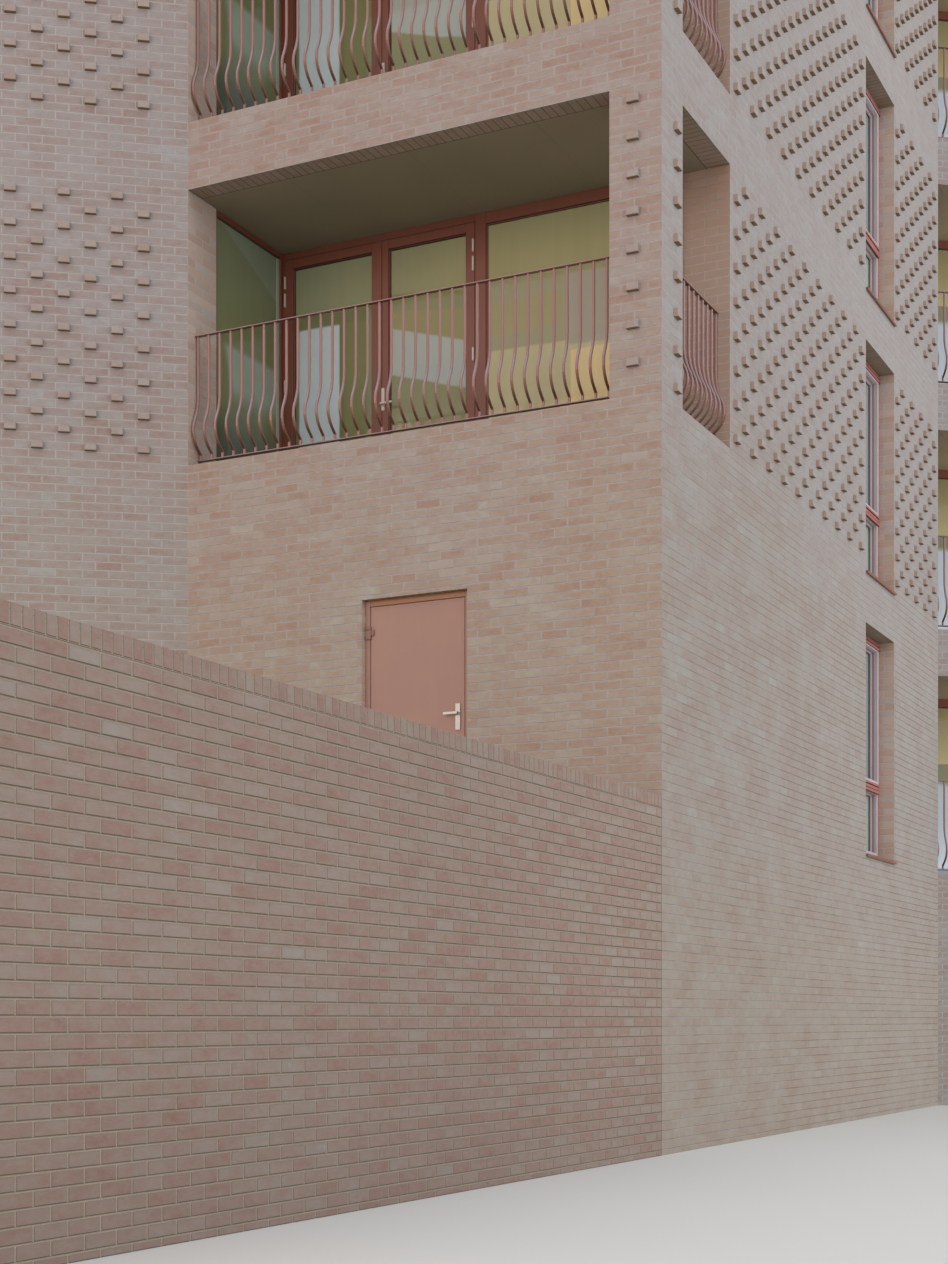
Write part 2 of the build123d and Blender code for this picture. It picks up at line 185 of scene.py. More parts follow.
def lay_out() -> dict[Side, Face]:
    """The faces of the block from its plan sizes."""
    j_u, j_v = to_uv(-BAY_FRONT, 0)
    l_u, l_v = to_uv(0, BAY_SIDE)
    west, east = j_u - LEFT_LONG, l_u + END_LONG
    corners = [
        from_uv(west, j_v), (-BAY_FRONT, 0.0), (0.0, 0.0), (0.0, BAY_SIDE),
        from_uv(east, l_v), from_uv(east, BACK_V), from_uv(west, BACK_V),
    ]
    made = {}
    for i, side in enumerate(Side):
        a, b = Vector(corners[i]), Vector(corners[(i + 1) % len(corners)])
        step = b - a
        start = (a.x + PLAN_SHIFT[0], a.y + PLAN_SHIFT[1])
        made[side] = Face(start, tuple(step.normalized()), step.length)
    return made


FACES = lay_out()


def evenly(side: Side, count: int) -> list[float]:
    """Left edges of windows spaced evenly along a face."""
    pitch = FACES[side].length / count
    return [(i + 0.5) * pitch - WIN_WIDE / 2 for i in range(count)]


WINDOWS: dict[Side, list[float]] = {
    Side.LEFT: evenly(Side.LEFT, 1),
    Side.SIDE: [BAY_SIDE - 2.227 - WIN_WIDE],
    Side.FAR: evenly(Side.FAR, 1),
    Side.BACK: evenly(Side.BACK, 4),
    Side.FLANK: evenly(Side.FLANK, 2),
}


# ---- Shader expressions


def _operator(operation: str, swapped: bool = False) -> Callable[..., "Signal"]:
    """A method of Signal that adds one Math node.

    Args:
        operation: The node's operation.
        swapped: Puts the signal behind the other value.

    Returns:
        The method.
    """

    def method(self: "Signal", *others: Any) -> "Signal":
        values = (*others, self) if swapped else (self, *others)
        return self.graph.math(operation, *values)

    return method


class Signal:
    """A number that varies over a surface, held by a shader socket."""

    def __init__(self, graph: "Graph", socket: Socket) -> None:
        """Wraps a socket of one graph."""
        self.graph = graph
        self.socket = socket

    __add__ = __radd__ = _operator("ADD")
    __sub__ = _operator("SUBTRACT")
    __rsub__ = _operator("SUBTRACT", swapped=True)
    __mul__ = __rmul__ = _operator("MULTIPLY")
    __truediv__ = _operator("DIVIDE")
    __abs__ = _operator("ABSOLUTE")
    floor = _operator("FLOOR")
    fract = _operator("FRACT")
    least = _operator("MINIMUM")
    above = _operator("GREATER_THAN")

    def __neg__(self) -> "Signal":
        """Opposite sign."""
        return self * -1.0

    def ramp(self, low: Any, high: Any) -> "Signal":
        """A smooth step from 0 at low to 1 at high."""
        node = self.graph.node(
            "ShaderNodeMapRange",
            {"interpolation_type": "SMOOTHSTEP"},
            {"Value": self, "From Min": low, "From Max": high},
        )
        return Signal(self.graph, node.outputs["Result"])


class Graph:
    """The nodes of one material."""

    def __init__(self, name: str) -> None:
        """Starts an empty material.

        Args:
            name: Name of the material.
        """
        self.material = bpy.data.materials.new(name)
        self.material.use_nodes = True
        self.tree = self.material.node_tree
        self.tree.nodes.clear()

    def node(
        self,
        kind: str,
        settings: Mapping[str, Any] | None = None,
        values: Mapping[Any, Any] | None = None,
    ) -> bpy.types.Node:
        """Adds any node.

        Args:
            kind: The node's type.
            settings: Attributes set first; "stops" fills a colour ramp.
            values: Numbers, colours, sockets or signals for its inputs, by name or index.

        Returns:
            The node.
        """
        made = self.tree.nodes.new(kind)
        for key, value in (settings or {}).items():
            if key == "stops":
                self._fill_ramp(made.color_ramp, value)
            else:
                setattr(made, key, value)
        for key, value in (values or {}).items():
            socket = made.inputs[key]
            if isinstance(value, Signal):
                self.tree.links.new(value.socket, socket)
            elif isinstance(value, Socket):
                self.tree.links.new(value, socket)
            elif socket.type == "RGBA" and len(value) == 3:
                socket.default_value = (*value, 1.0)
            else:
                socket.default_value = value
        return made

    @staticmethod
    def _fill_ramp(ramp: bpy.types.ColorRamp, stops: Stops) -> None:
        """Puts the stops on a new colour ramp."""
        while len(ramp.elements) < len(stops):
            ramp.elements.new(1.0)
        for element, (at, colour) in zip(ramp.elements, stops):
            element.position = at
            element.color = (*colour, 1.0)

    def math(self, operation: str, *values: Any) -> Signal:
        """Adds a Math node and returns its value."""
        node = self.node("ShaderNodeMath", {"operation": operation}, dict(enumerate(values)))
        return Signal(self, node.outputs[0])

    def split(self, socket: Socket) -> tuple[Signal, Signal, Signal]:
        """The three parts of a vector."""
        node = self.node("ShaderNodeSeparateXYZ", None, {0: socket})
        x, y, z = (Signal(self, part) for part in node.outputs)
        return x, y, z

    def vector(self, x: Any, y: Any, z: Any) -> Socket:
        """A vector from three values."""
        return self.node("ShaderNodeCombineXYZ", None, {0: x, 1: y, 2: z}).outputs[0]

    def place(self) -> Socket:
        """Object coordinates, which are the frame's own here."""
        return self.node("ShaderNodeTexCoord").outputs["Object"]

    def facing(self) -> tuple[Signal, Signal, Signal]:
        """Parts of the surface's true normal."""
        return self.split(self.node("ShaderNodeNewGeometry").outputs["True Normal"])

    def noise(self, where: Any, scale: float, detail: float = 3.0, rough: float = 0.5) -> Signal:
        """Soft noise from 0 to 1 round 0.5."""
        node = self.node(
            "ShaderNodeTexNoise", None,
            {"Vector": where, "Scale": scale, "Detail": detail, "Roughness": rough},
        )
        return Signal(self, node.outputs[0])

    def stretched(self, where: Any, x: float, y: float, z: float) -> Socket:
        """The same vector scaled by three numbers."""
        values = {0: where, 1: (x, y, z)}
        return self.node("ShaderNodeVectorMath", {"operation": "MULTIPLY"}, values).outputs[0]

    def chance(self, where: Any) -> Signal:
        """One random number for each value of a vector."""
        node = self.node("ShaderNodeTexWhiteNoise", {"noise_dimensions": "3D"}, {"Vector": where})
        return Signal(self, node.outputs["Value"])

    def colours(self, at: Any, stops: Stops) -> Socket:
        """A colour ramp read at a value."""
        return self.node("ShaderNodeValToRGB", {"stops": stops}, {"Fac": at}).outputs["Color"]

    def mix(self, share: Any, a: Any, b: Any, blend: str = "MIX") -> Socket:
        """Mixes two colours.

        Args:
            share: How much of b.
            a, b: Colours or colour sockets.
            blend: Way of mixing.

        Returns:
            The mixed colour's socket.
        """
        settings = {"data_type": "RGBA", "blend_type": blend}
        return self.node("ShaderNodeMix", settings, {0: share, 6: a, 7: b}).outputs[2]

    def layered(self, colour: Any, *layers: tuple[Any, Any]) -> Socket:
        """Lays colours over a first one.

        Args:
            colour: The first colour.
            layers: How much of each further colour, and that colour, in order.

        Returns:
            The mixed colour's socket.
        """
        for share, over in layers:
            colour = self.mix(share, colour, over)
        return colour

    def tinted(self, colour: Any, *layers: tuple[Any, Rgb]) -> Socket:
        """Multiplies a share of a colour by each of some tints, in order."""
        for share, by in layers:
            colour = self.mix(share, colour, self.mix(1.0, colour, by, "MULTIPLY"))
        return colour

    def shade(self, colour: Any, by: Any) -> Socket:
        """Multiplies a colour by a grey value."""
        grey = self.node("ShaderNodeCombineColor", None, {0: by, 1: by, 2: by}).outputs[0]
        return self.mix(1.0, colour, grey, "MULTIPLY")

    def bump(self, height: Any, reach: float = 1.0, strength: float = 1.0) -> Socket:
        """A normal bent by a height in metres."""
        values = {"Height": height, "Distance": reach, "Strength": strength}
        return self.node("ShaderNodeBump", None, values).outputs["Normal"]

    def finish(
        self,
        colour: Any,
        rough: Any,
        normal: Any = None,
        metal: float = 0.0,
        coat: float = 0.0,
        specular: float = 0.5,
    ) -> Material:
        """Closes the material with one surface shader.

        Args:
            colour: Base colour.
            rough: Roughness.
            normal: Bent normal, or None.
            metal: Metallic share.
            coat: Weight of a clear coat.
            specular: Strength of the plain reflection.

        Returns:
            The material.
        """
        values: dict[str, Any] = {
            "Base Color": colour, "Roughness": rough, "Metallic": metal, "Coat Weight": coat,
            "Specular IOR Level": specular,
        }
        if normal is not None:
            values["Normal"] = normal
        surface = self.node("ShaderNodeBsdfPrincipled", None, values)
        self.node("ShaderNodeOutputMaterial", None, {"Surface": surface.outputs[0]})
        return self.material


# ---- Finishes


class Finish:
    """A finish that makes its material once."""

    made: ClassVar[dict[str, Material]] = {}
    slot: str
    name: str

    def make(self) -> Material:
        """Builds the material; each finish has its own way."""
        raise NotImplementedError

    def material(self) -> Material:
        """The finish's material, made on first use."""
        if self.name not in Finish.made:
            Finish.made[self.name] = self.make()
        return Finish.made[self.name]


@dataclass(frozen=True)
class BrickWall(Finish):
    """Stretcher-bond brickwork whose bricks and joints follow each upright face."""

    name: str = "building_brick"
    slot: str = "brick"
    bricks: Stops = (
        (0.0, (0.335, 0.226, 0.19)),
        (0.25, (0.358, 0.258, 0.228)),
        (0.5, (0.368, 0.288, 0.26)),
        (0.75, (0.372, 0.314, 0.292)),
        (1.0, (0.395, 0.36, 0.348)),
    )
    # Single bricks, marks on the bricks, the paler colour of the long side face, and the painted
    # shade of undersides.
    ashen: Rgb = (0.42, 0.395, 0.385)
    burnt: Rgb = (0.325, 0.195, 0.155)
    scuffed: Rgb = (0.42, 0.365, 0.33)
    bloomed: Rgb = (0.42, 0.385, 0.365)
    long_face_pale: Rgb = (0.405, 0.362, 0.343)
    under: Rgb = (0.225, 0.165, 0.092)
    # Returns inside the loggias, and reveals that are open to the sky: lighter, warmer colours
    # painted as warm light in their shade, single orange and grey bricks, and a deep warm colour
    # that is partly per-brick tone and partly painted shade near the head.
    warm: Rgb = (0.485, 0.355, 0.285)
    deep_warm_and_shade: Rgb = (0.40, 0.25, 0.175)
    fair: Rgb = (0.66, 0.495, 0.415)
    orange: Rgb = (0.52, 0.31, 0.21)
    grey: Rgb = (0.50, 0.485, 0.47)
    # Tints of whole parts of the walls; the turned, front and long-foot ones are painted light by
    # the way a face looks.
    foot_tint: Rgb = (1.04, 1.06, 0.95)
    turned_cool_light: Rgb = (0.94, 1.005, 1.06)
    front_warm_light: Rgb = (1.0, 0.982, 0.945)
    long_foot_bounce_light: Rgb = (1.005, 0.97, 0.905)
    # Mortar colours; the warm and fair mortars are painted light in returns and reveals, and the
    # under mortar is painted shade on undersides.
    mortar: Rgb = (0.425, 0.385, 0.36)
    worn_mortar: Rgb = (0.365, 0.315, 0.285)
    turned_mortar: Rgb = (0.50, 0.47, 0.45)
    low_mortar: Rgb = (0.315, 0.25, 0.195)
    warm_mortar: Rgb = (0.55, 0.44, 0.36)
    fair_mortar: Rgb = (0.66, 0.575, 0.50)
    under_mortar: Rgb = (0.165, 0.122, 0.070)
    joint: float = 0.0044
    depth: float = 0.004
    # Depth of the outer row of bricks on the underside of an opening.
    edge_row: float = 0.212

    def make(self) -> Material:
        """Builds the brickwork from the face's own direction and the level."""
        g = Graph(self.name)
        where = g.place()
        x, y, z = g.split(where)
        nx, ny, nz = g.facing()
        # Distances from the corner of the bay, or from the fold on the turned faces.
        corner = Vector(PLAN_SHIFT)
        fold = Vector(FACES[Side.FRONT].start)
        turned = abs(nx * ny).above(0.2)
        ax = x - (corner.x + turned * (fold.x - corner.x))
        ay = y - (corner.y + turned * (fold.y - corner.y))
        along = ay * nx - ax * ny
        # The bond: level and horizontal faces have courses that run along their outer edge.
        wobble = g.noise(where, 21.0, 2.0)
        flat = abs(nz).above(0.7)
        on_side = ax.above(-0.215)
        edge_run = ax + on_side * (ay - ax)
        level = z - COURSE_START + (wobble - 0.5) * 0.004
        rows = (level + flat * (edge_run - level)) / COURSE
        row = rows.floor()
        start = ((row + abs(nx).above(abs(ny))) * 0.5).fract() * (1 - flat)
        cross = ay + on_side * (ax - ay)
        cols = (along + flat * (cross - along) + (wobble - 0.5) * 0.003) / STRETCH + start
        col = cols.floor()
        up, run = rows.fract(), cols.fract()
        to_bed = up.least(1 - up) * COURSE
        to_end = run.least(1 - run) * STRETCH
        edge = g.noise(where, 130.0, 2.0) * 0.0022 + g.noise(where, 31.0, 2.0) * 0.0034 - 0.0028
        body = (to_bed.least(to_end * 1.15) + edge).ramp(self.joint - 0.0012, self.joint + 0.0016)
        # Two random numbers for each brick, and the clouds that run over many of them.
        tone = g.chance(g.vector(col, row, nx * 3.1 + ny * 7.7))
        other = g.chance(g.vector(row, col * 1.7, nx * 2.3 + ny * 5.1 + 4.0))
        drift = g.noise(where, 0.42, 2.0)
        patch = g.noise(g.stretched(where, 1.0, 1.0, 2.2), 9.0, 4.0, 0.62)
        wash = g.noise(g.stretched(where, 1.0, 1.0, 1.7), 1.9, 3.0, 0.55)
        scuff = g.noise(g.stretched(where, 1.0, 1.0, 2.6), 23.0, 4.0, 0.7)
        grain = g.noise(where, 230.0, 3.0, 0.7)
        on_long = nx.ramp(0.9, 1.0)
        foot = 1 - (z + (drift - 0.5) * 3).ramp(4.2, 7.5)
        low = foot * on_long
        mottle = (patch - 0.5) * 1.4 + (wash - 0.5) * 1.3
        shown = tone * (0.46 - low * 0.22) + drift * 0.34 + mottle + 0.08 + low * 0.06
        brick = g.layered(
            g.colours(shown, self.bricks),
            (other.ramp(0.92, 1.0) * 0.35, self.ashen),
            ((1 - other.ramp(0.0, 0.14)) * 0.35, self.burnt),
            (scuff.ramp(0.48, 0.72) * 0.36, self.scuffed),
        )
        brick = g.shade(brick, 0.90 + grain * 0.2)
        brick = g.tinted(brick, (foot * 0.8, self.foot_tint))
        # The long side face is paler and more even, more so towards its far end; a painted light
        # darkens it near the corner and brightens it towards its far end.
        away = ay.ramp(0.5, 9.0)
        brick = g.mix(on_long * (0.40 + away * 0.22 - low * 0.15), brick, self.long_face_pale)
        brick = g.shade(brick, 1 + on_long * (away * 0.12 - 0.07))
        # Painted light by the way each face looks: cool light on the turned faces, warm light on
        # those that look to the front, and warm light bounced from the ground at the foot of the
        # long face.
        brick = g.tinted(
            brick,
            (turned, self.turned_cool_light),
            ((-ny).ramp(0.9, 1.0), self.front_warm_light),
            (on_long * (1 - z.ramp(1.2, 3.6)), self.long_foot_bounce_light),
        )
        # A thin shadow lies in each bed joint just under the brick; it is stronger low down.
        lip = up.ramp(0.026, 0.042) * (1 - up.ramp(0.070, 0.080))
        worn = g.noise(where, 5.5, 3.0, 0.6)
        faded = (wash * 0.6 + drift * 0.4).ramp(0.42, 0.56)
        mortar = g.layered(
            self.mortar,
            (worn.ramp(0.44, 0.60), self.worn_mortar),
            (turned * 0.6, self.turned_mortar),
            (low * (1 - faded * 0.65), self.low_mortar),
        )
        lip_depth = low * (0.30 - faded * 0.26) + 0.24
        mortar = g.shade(mortar, 1.0 - lip * lip_depth + (grain - 0.5) * 0.2)
        # Pale mortar is smeared over the edges of the bricks.
        ragged = g.noise(where, 34.0, 4.0, 0.7)
        bloom = 1 - to_bed.least(to_end).ramp(0.003, 0.008 + (ragged - 0.35) * 0.04)
        brick = g.mix(bloom * (0.58 - low * 0.35) * (1.25 - wash * 0.6), brick, self.bloomed)
        # Reveals and returns are painted lighter and warmer, which stands for warm light in their
        # shade, and returns are painted darker and more orange near their head as painted shade;
        # single bricks in the reveals are orange or grey.
        inside = ((1 - turned) * (1 - flat) * abs(ax * nx + ay * ny)).ramp(0.02, 0.03)
        open_light = abs(ay - LOGGIA_SIDE).ramp(0.05, 0.06)
        reveal = inside * open_light
        sheltered = inside * (1 - open_light)
        high = ((z - FLOOR_0) / STOREY).fract() * STOREY + (patch - 0.5) * 0.5
        near_head = high.ramp(1.8, 2.6)
        brick = g.layered(
            brick,
            (inside * (0.60 + tone * 0.30), g.mix(open_light, self.warm, self.fair)),
            (reveal * (1 - other.ramp(0.0, 0.45)) * 0.42, self.orange),
            (reveal * other.ramp(0.70, 0.95) * 0.40, self.grey),
            (sheltered * (tone * 0.42 + near_head * 0.6), self.deep_warm_and_shade),
        )
        inner_mortar = g.mix(open_light, self.warm_mortar, self.fair_mortar)
        mortar = g.mix(inside * 0.8, mortar, inner_mortar)
        # Painted shade near the head of the returns, and a little more of the painted shadow under
        # the bricks in the reveals.
        mortar = g.shade(mortar, 1 - reveal * lip * 0.15 - sheltered * near_head * 0.3)
        # Undersides are painted dark as painted shade, with a painted shadow line in the open joint
        # behind their outer row of bricks.
        below = (-nz).ramp(0.4, 0.8)
        mortar = g.mix(below, mortar, self.under_mortar)
        brick = g.mix(below * (0.45 + tone * 0.35), brick, self.under)
        inner = ay - on_side * (ax + ay)
        seam = 1 - abs(inner - self.edge_row).ramp(0.003, 0.008)
        colour = g.shade(g.mix(body, mortar, brick), 1 - below * seam * 0.65)
        height = body * self.depth + grain * 0.0012 + (tone - 0.5) * 0.0012 * body + patch * 0.002
        return g.finish(colour, 0.9, g.bump(height, 1.0, 0.8), specular=0.25)


@dataclass(frozen=True)
class LooseBrick(Finish):
    """Fired brick for bricks that are modelled one by one; the joints are real gaps."""

    name: str = "garden_brick"
    slot: str = "garden_brick"
    across: float = STRETCH
    high: float = COURSE
    level: float = 0.041
    bonded: bool = True
    bricks: Stops = (
        (0.0, (0.29, 0.16, 0.125)),
        (0.3, (0.315, 0.20, 0.16)),
        (0.6, (0.325, 0.235, 0.19)),
        (0.85, (0.325, 0.26, 0.22)),
        (1.0, (0.345, 0.305, 0.275)),
    )
    pale: Rgb = (0.35, 0.315, 0.28)
    red: Rgb = (0.30, 0.165, 0.13)
    # Painted shade on the bricks' undersides.
    under: Rgb = (0.13, 0.085, 0.05)
    # Smeared edges of the bricks, where they have any.
    rim: Rgb | None = (0.275, 0.225, 0.175)
    # Sides of the headers that stand proud of the side face, where the warm light falls.
    cheek: Rgb = (0.52, 0.36, 0.27)

    def make(self) -> Material:
        """Builds a colour for each brick of the grid, mottled and grained."""
        g = Graph(self.name)
        where = g.place()
        x, y, z = g.split(where)
        rows = (z - self.level) / self.high
        row = rows.floor()
        shift = (row * 0.5).fract() if self.bonded else 0.0
        cols = (y - PLAN_SHIFT[1]) / self.across + shift
        col = cols.floor()
        # The wall's two leaves draw different numbers.
        leaf = (x - (PLAN_SHIFT[0] - 0.22)).above(0.0)
        tone = g.chance(g.vector(col, row, leaf))
        other = g.chance(g.vector(row * 1.3, leaf, col * 0.7))
        patch = g.noise(g.stretched(where, 1.0, 1.0, 2.0), 8.0, 4.0, 0.6)
        drift = g.noise(where, 0.6, 2.0)
        scuff = g.noise(g.stretched(where, 1.0, 1.0, 3.0), 24.0, 5.0, 0.7)
        brick = g.layered(
            g.colours(tone * 0.40 + drift * 0.35 + (patch - 0.5) * 1.3 + 0.08, self.bricks),
            (other.ramp(0.92, 1.0) * 0.36, self.pale),
            ((1 - other.ramp(0.0, 0.12)) * 0.4, self.red),
            (scuff.ramp(0.48, 0.76) * 0.32, self.pale),
        )
        if self.rim:
            up, run = rows.fract(), cols.fract()
            ragged = g.noise(where, 55.0, 3.0, 0.6) * 0.016
            rim = (up.least(1 - up) * self.high).least(run.least(1 - run) * self.across)
            brick = g.mix((1 - rim.ramp(0.004, 0.010 + ragged)) * 0.75, brick, self.rim)
        grain = g.noise(where, 260.0, 3.0, 0.7)
        pits = g.noise(where, 90.0, 2.0, 0.6).ramp(0.68, 0.78)
        brick = g.shade(brick, 0.88 + grain * 0.24 - pits * 0.25)
        _, ny, nz = g.facing()
        cheek = (x - PLAN_SHIFT[0]).above(0.0005) * (-ny).ramp(0.85, 0.95)
        brick = g.mix(cheek * 0.5, brick, self.cheek)
        # The wall is darker at its foot and towards its free end.
        near = y.ramp(PLAN_SHIFT[1] - 4.0, PLAN_SHIFT[1] - 0.5)
        brick = g.shade(brick, 0.845 + z.ramp(0.2, 1.5) * 0.10 + near * 0.13)
        # Undersides are painted dark as painted shade.
        brick = g.mix((-nz).ramp(0.4, 0.8) * 0.9, brick, self.under)
        height = grain * 0.0012 - pits * 0.0015 + scuff * 0.0025 + patch * 0.003
        return g.finish(brick, 0.9, g.bump(height, 1.0, 0.8), specular=0.25)


@dataclass(frozen=True)
class Mortar(Finish):
    """Sanded mortar."""

    name: str = "mortar"
    slot: str = "garden_brick"
    colour: Rgb = (0.375, 0.285, 0.218)
    level: float = GARDEN_START

    def make(self) -> Material:
        """Builds a sandy mortar with dark specks."""
        g = Graph(self.name)
        where = g.place()
        sand = g.noise(where, 320.0, 2.0, 0.8)
        stain = g.noise(where, 2.2, 4.0)
        dark, light = (tuple(c * by for c in self.colour) for by in (0.7, 1.25))
        colour = g.colours(sand, ((0.3, dark), (0.7, light)))
        _, _, z = g.split(where)
        # The top of each bed joint, just under the brick, is darkened as a painted shadow.
        lip = ((z - self.level) / COURSE).fract().ramp(0.935, 0.965)
        colour = g.shade(colour, 0.8 + stain * 0.4 - lip * 0.44)
        return g.finish(colour, 0.95, g.bump(sand * 0.002), specular=0.2)


@dataclass(frozen=True)
class Paint(Finish):
    """Powder-coated metal."""

    name: str
    slot: str
    colour: Rgb
    rough: float = 0.42
    coat: float = 0.0
    dust: float = 0.25
    dusty: Rgb = (0.42, 0.37, 0.33)
    # Painted sky reflection on the parts that look up, and painted shade on the parts that look
    # down, where a paint has them.
    above: Rgb | None = None
    below: Rgb | None = None

    def make(self) -> Material:
        """Builds an even paint with fine peel, dust on its upper faces and soft wear."""
        g = Graph(self.name)
        where = g.place()
        _, _, nz = g.facing()
        peel = g.noise(where, 420.0, 2.0)
        cloud = g.noise(where, 3.1, 4.0)
        streak = g.noise(g.stretched(where, 9.0, 9.0, 0.8), 2.5, 3.0)
        colour = g.shade(self.colour, 0.86 + cloud * 0.2 + streak * 0.08)
        dust = nz.ramp(0.5, 1.0) * self.dust + streak.ramp(0.6, 0.9) * 0.10
        colour = g.mix(dust, colour, self.dusty)
        # Painted sky reflection on faces that look up; painted shade, darker still further down, on
        # faces that look down.
        if self.above:
            colour = g.mix(nz.ramp(0.02, 0.45) * 0.85, colour, self.above)
        if self.below:
            colour = g.mix((-nz).ramp(0.0, 0.25) * 0.95, colour, self.below)
            colour = g.shade(colour, 1 - (-nz).ramp(0.30, 0.75) * 0.55)
        rough = self.rough + cloud * 0.1 + dust * 0.2
        return g.finish(colour, rough, g.bump(peel * 0.0003), coat=self.coat)


@dataclass(frozen=True)
class Steel(Finish):
    """Brushed stainless steel."""

    name: str = "brushed_steel"
    slot: str = "steel"
    colour: Rgb = (0.46, 0.44, 0.41)

    def make(self) -> Material:
        """Builds steel with a fine upright brushing."""
        g = Graph(self.name)
        where = g.place()
        brush = g.noise(g.stretched(where, 900.0, 900.0, 14.0), 1.0, 2.0)
        cloud = g.noise(where, 14.0, 3.0)
        colour = g.shade(self.colour, 0.82 + brush * 0.25)
        return g.finish(colour, 0.32 + cloud * 0.2, g.bump(brush * 0.0002), metal=0.85)


@dataclass(frozen=True)
class Concrete(Finish):
    """Cast concrete of slabs and decks."""

    name: str = "cast_concrete"
    slot: str = "concrete"
    colour: Rgb = (0.36, 0.34, 0.31)
    damp: Rgb = (0.24, 0.225, 0.20)

    def make(self) -> Material:
        """Builds concrete with clouds, pores and damp stains."""
        g = Graph(self.name)
        where = g.place()
        cloud = g.noise(where, 1.3, 5.0, 0.6)
        pores = g.noise(where, 95.0, 2.0).ramp(0.66, 0.74)
        colour = g.shade(self.colour, 0.72 + cloud * 0.55 - pores * 0.2)
        stain = g.noise(where, 0.35, 3.0).ramp(0.5, 0.75)
        colour = g.mix(stain * 0.3, colour, self.damp)
        return g.finish(colour, 0.85, g.bump(cloud * 0.004 - pores * 0.002), specular=0.3)


@dataclass(frozen=True)
class SoffitPaint(Finish):
    """Flat olive-brown board under the loggias."""

    name: str = "soffit_board"
    slot: str = "soffit_paint"
    colour: Rgb = (0.24, 0.20, 0.128)
    board: float = 1.2

    def make(self) -> Material:
        """Builds a matt board with large soft blotches and faint joints."""
        g = Graph(self.name)
        where = g.place()
        x, _, _ = g.split(where)
        blotch = g.noise(where, 0.9, 4.0, 0.55)
        fine = g.noise(where, 60.0, 3.0)
        seam = ((x - PLAN_SHIFT[0]) / self.board).fract()
        line = 1 - seam.least(1 - seam).ramp(0.0, 0.004)
        colour = g.shade(self.colour, 0.82 + blotch * 0.36 - line * 0.2 + (fine - 0.5) * 0.08)
        return g.finish(colour, 0.75, g.bump(fine * 0.0004 - line * 0.001), specular=0.3)


@dataclass(frozen=True)
class Glass(Finish):
    """Dark double glazing; each storey shows an upper part over a paler lower one."""

    name: str = "end_glazing"
    slot: str = "glass"
    upper: Rgb = (0.31, 0.28, 0.15)
    lower: Rgb = (0.66, 0.71, 0.78)
    streak: Rgb = (0.60, 0.63, 0.62)
    change: float = 1.42
    soft: float = 0.05

    def storey(self, z: Signal) -> tuple[Signal, Signal]:
        """Number of the storey, and height in it."""
        storeys = (z - FLOOR_0) / STOREY
        return storeys.floor(), storeys.fract() * STOREY

    def make(self) -> Material:
        """Builds glass from the height in its storey, with soft upright streaks in it."""
        g = Graph(self.name)
        where = g.place()
        _, _, z = g.split(where)
        _, high = self.storey(z)
        wave = g.noise(g.stretched(where, 1.0, 1.0, 0.35), 1.1, 2.0)
        low = 1 - (high + (wave - 0.5) * 0.3).ramp(self.change - self.soft, self.change + self.soft)
        streaks = g.noise(g.stretched(where, 7.0, 7.0, 0.25), 1.0, 2.0)
        tint = g.mix(streaks.ramp(0.42, 0.66) * 0.55, self.lower, self.streak)
        colour = g.mix(low, g.shade(self.upper, 0.8 + wave * 0.4), tint)
        ripple = g.noise(where, 1.6, 2.0)
        return g.finish(colour, 0.04 + ripple * 0.03, g.bump(ripple * 0.003), specular=0.5)


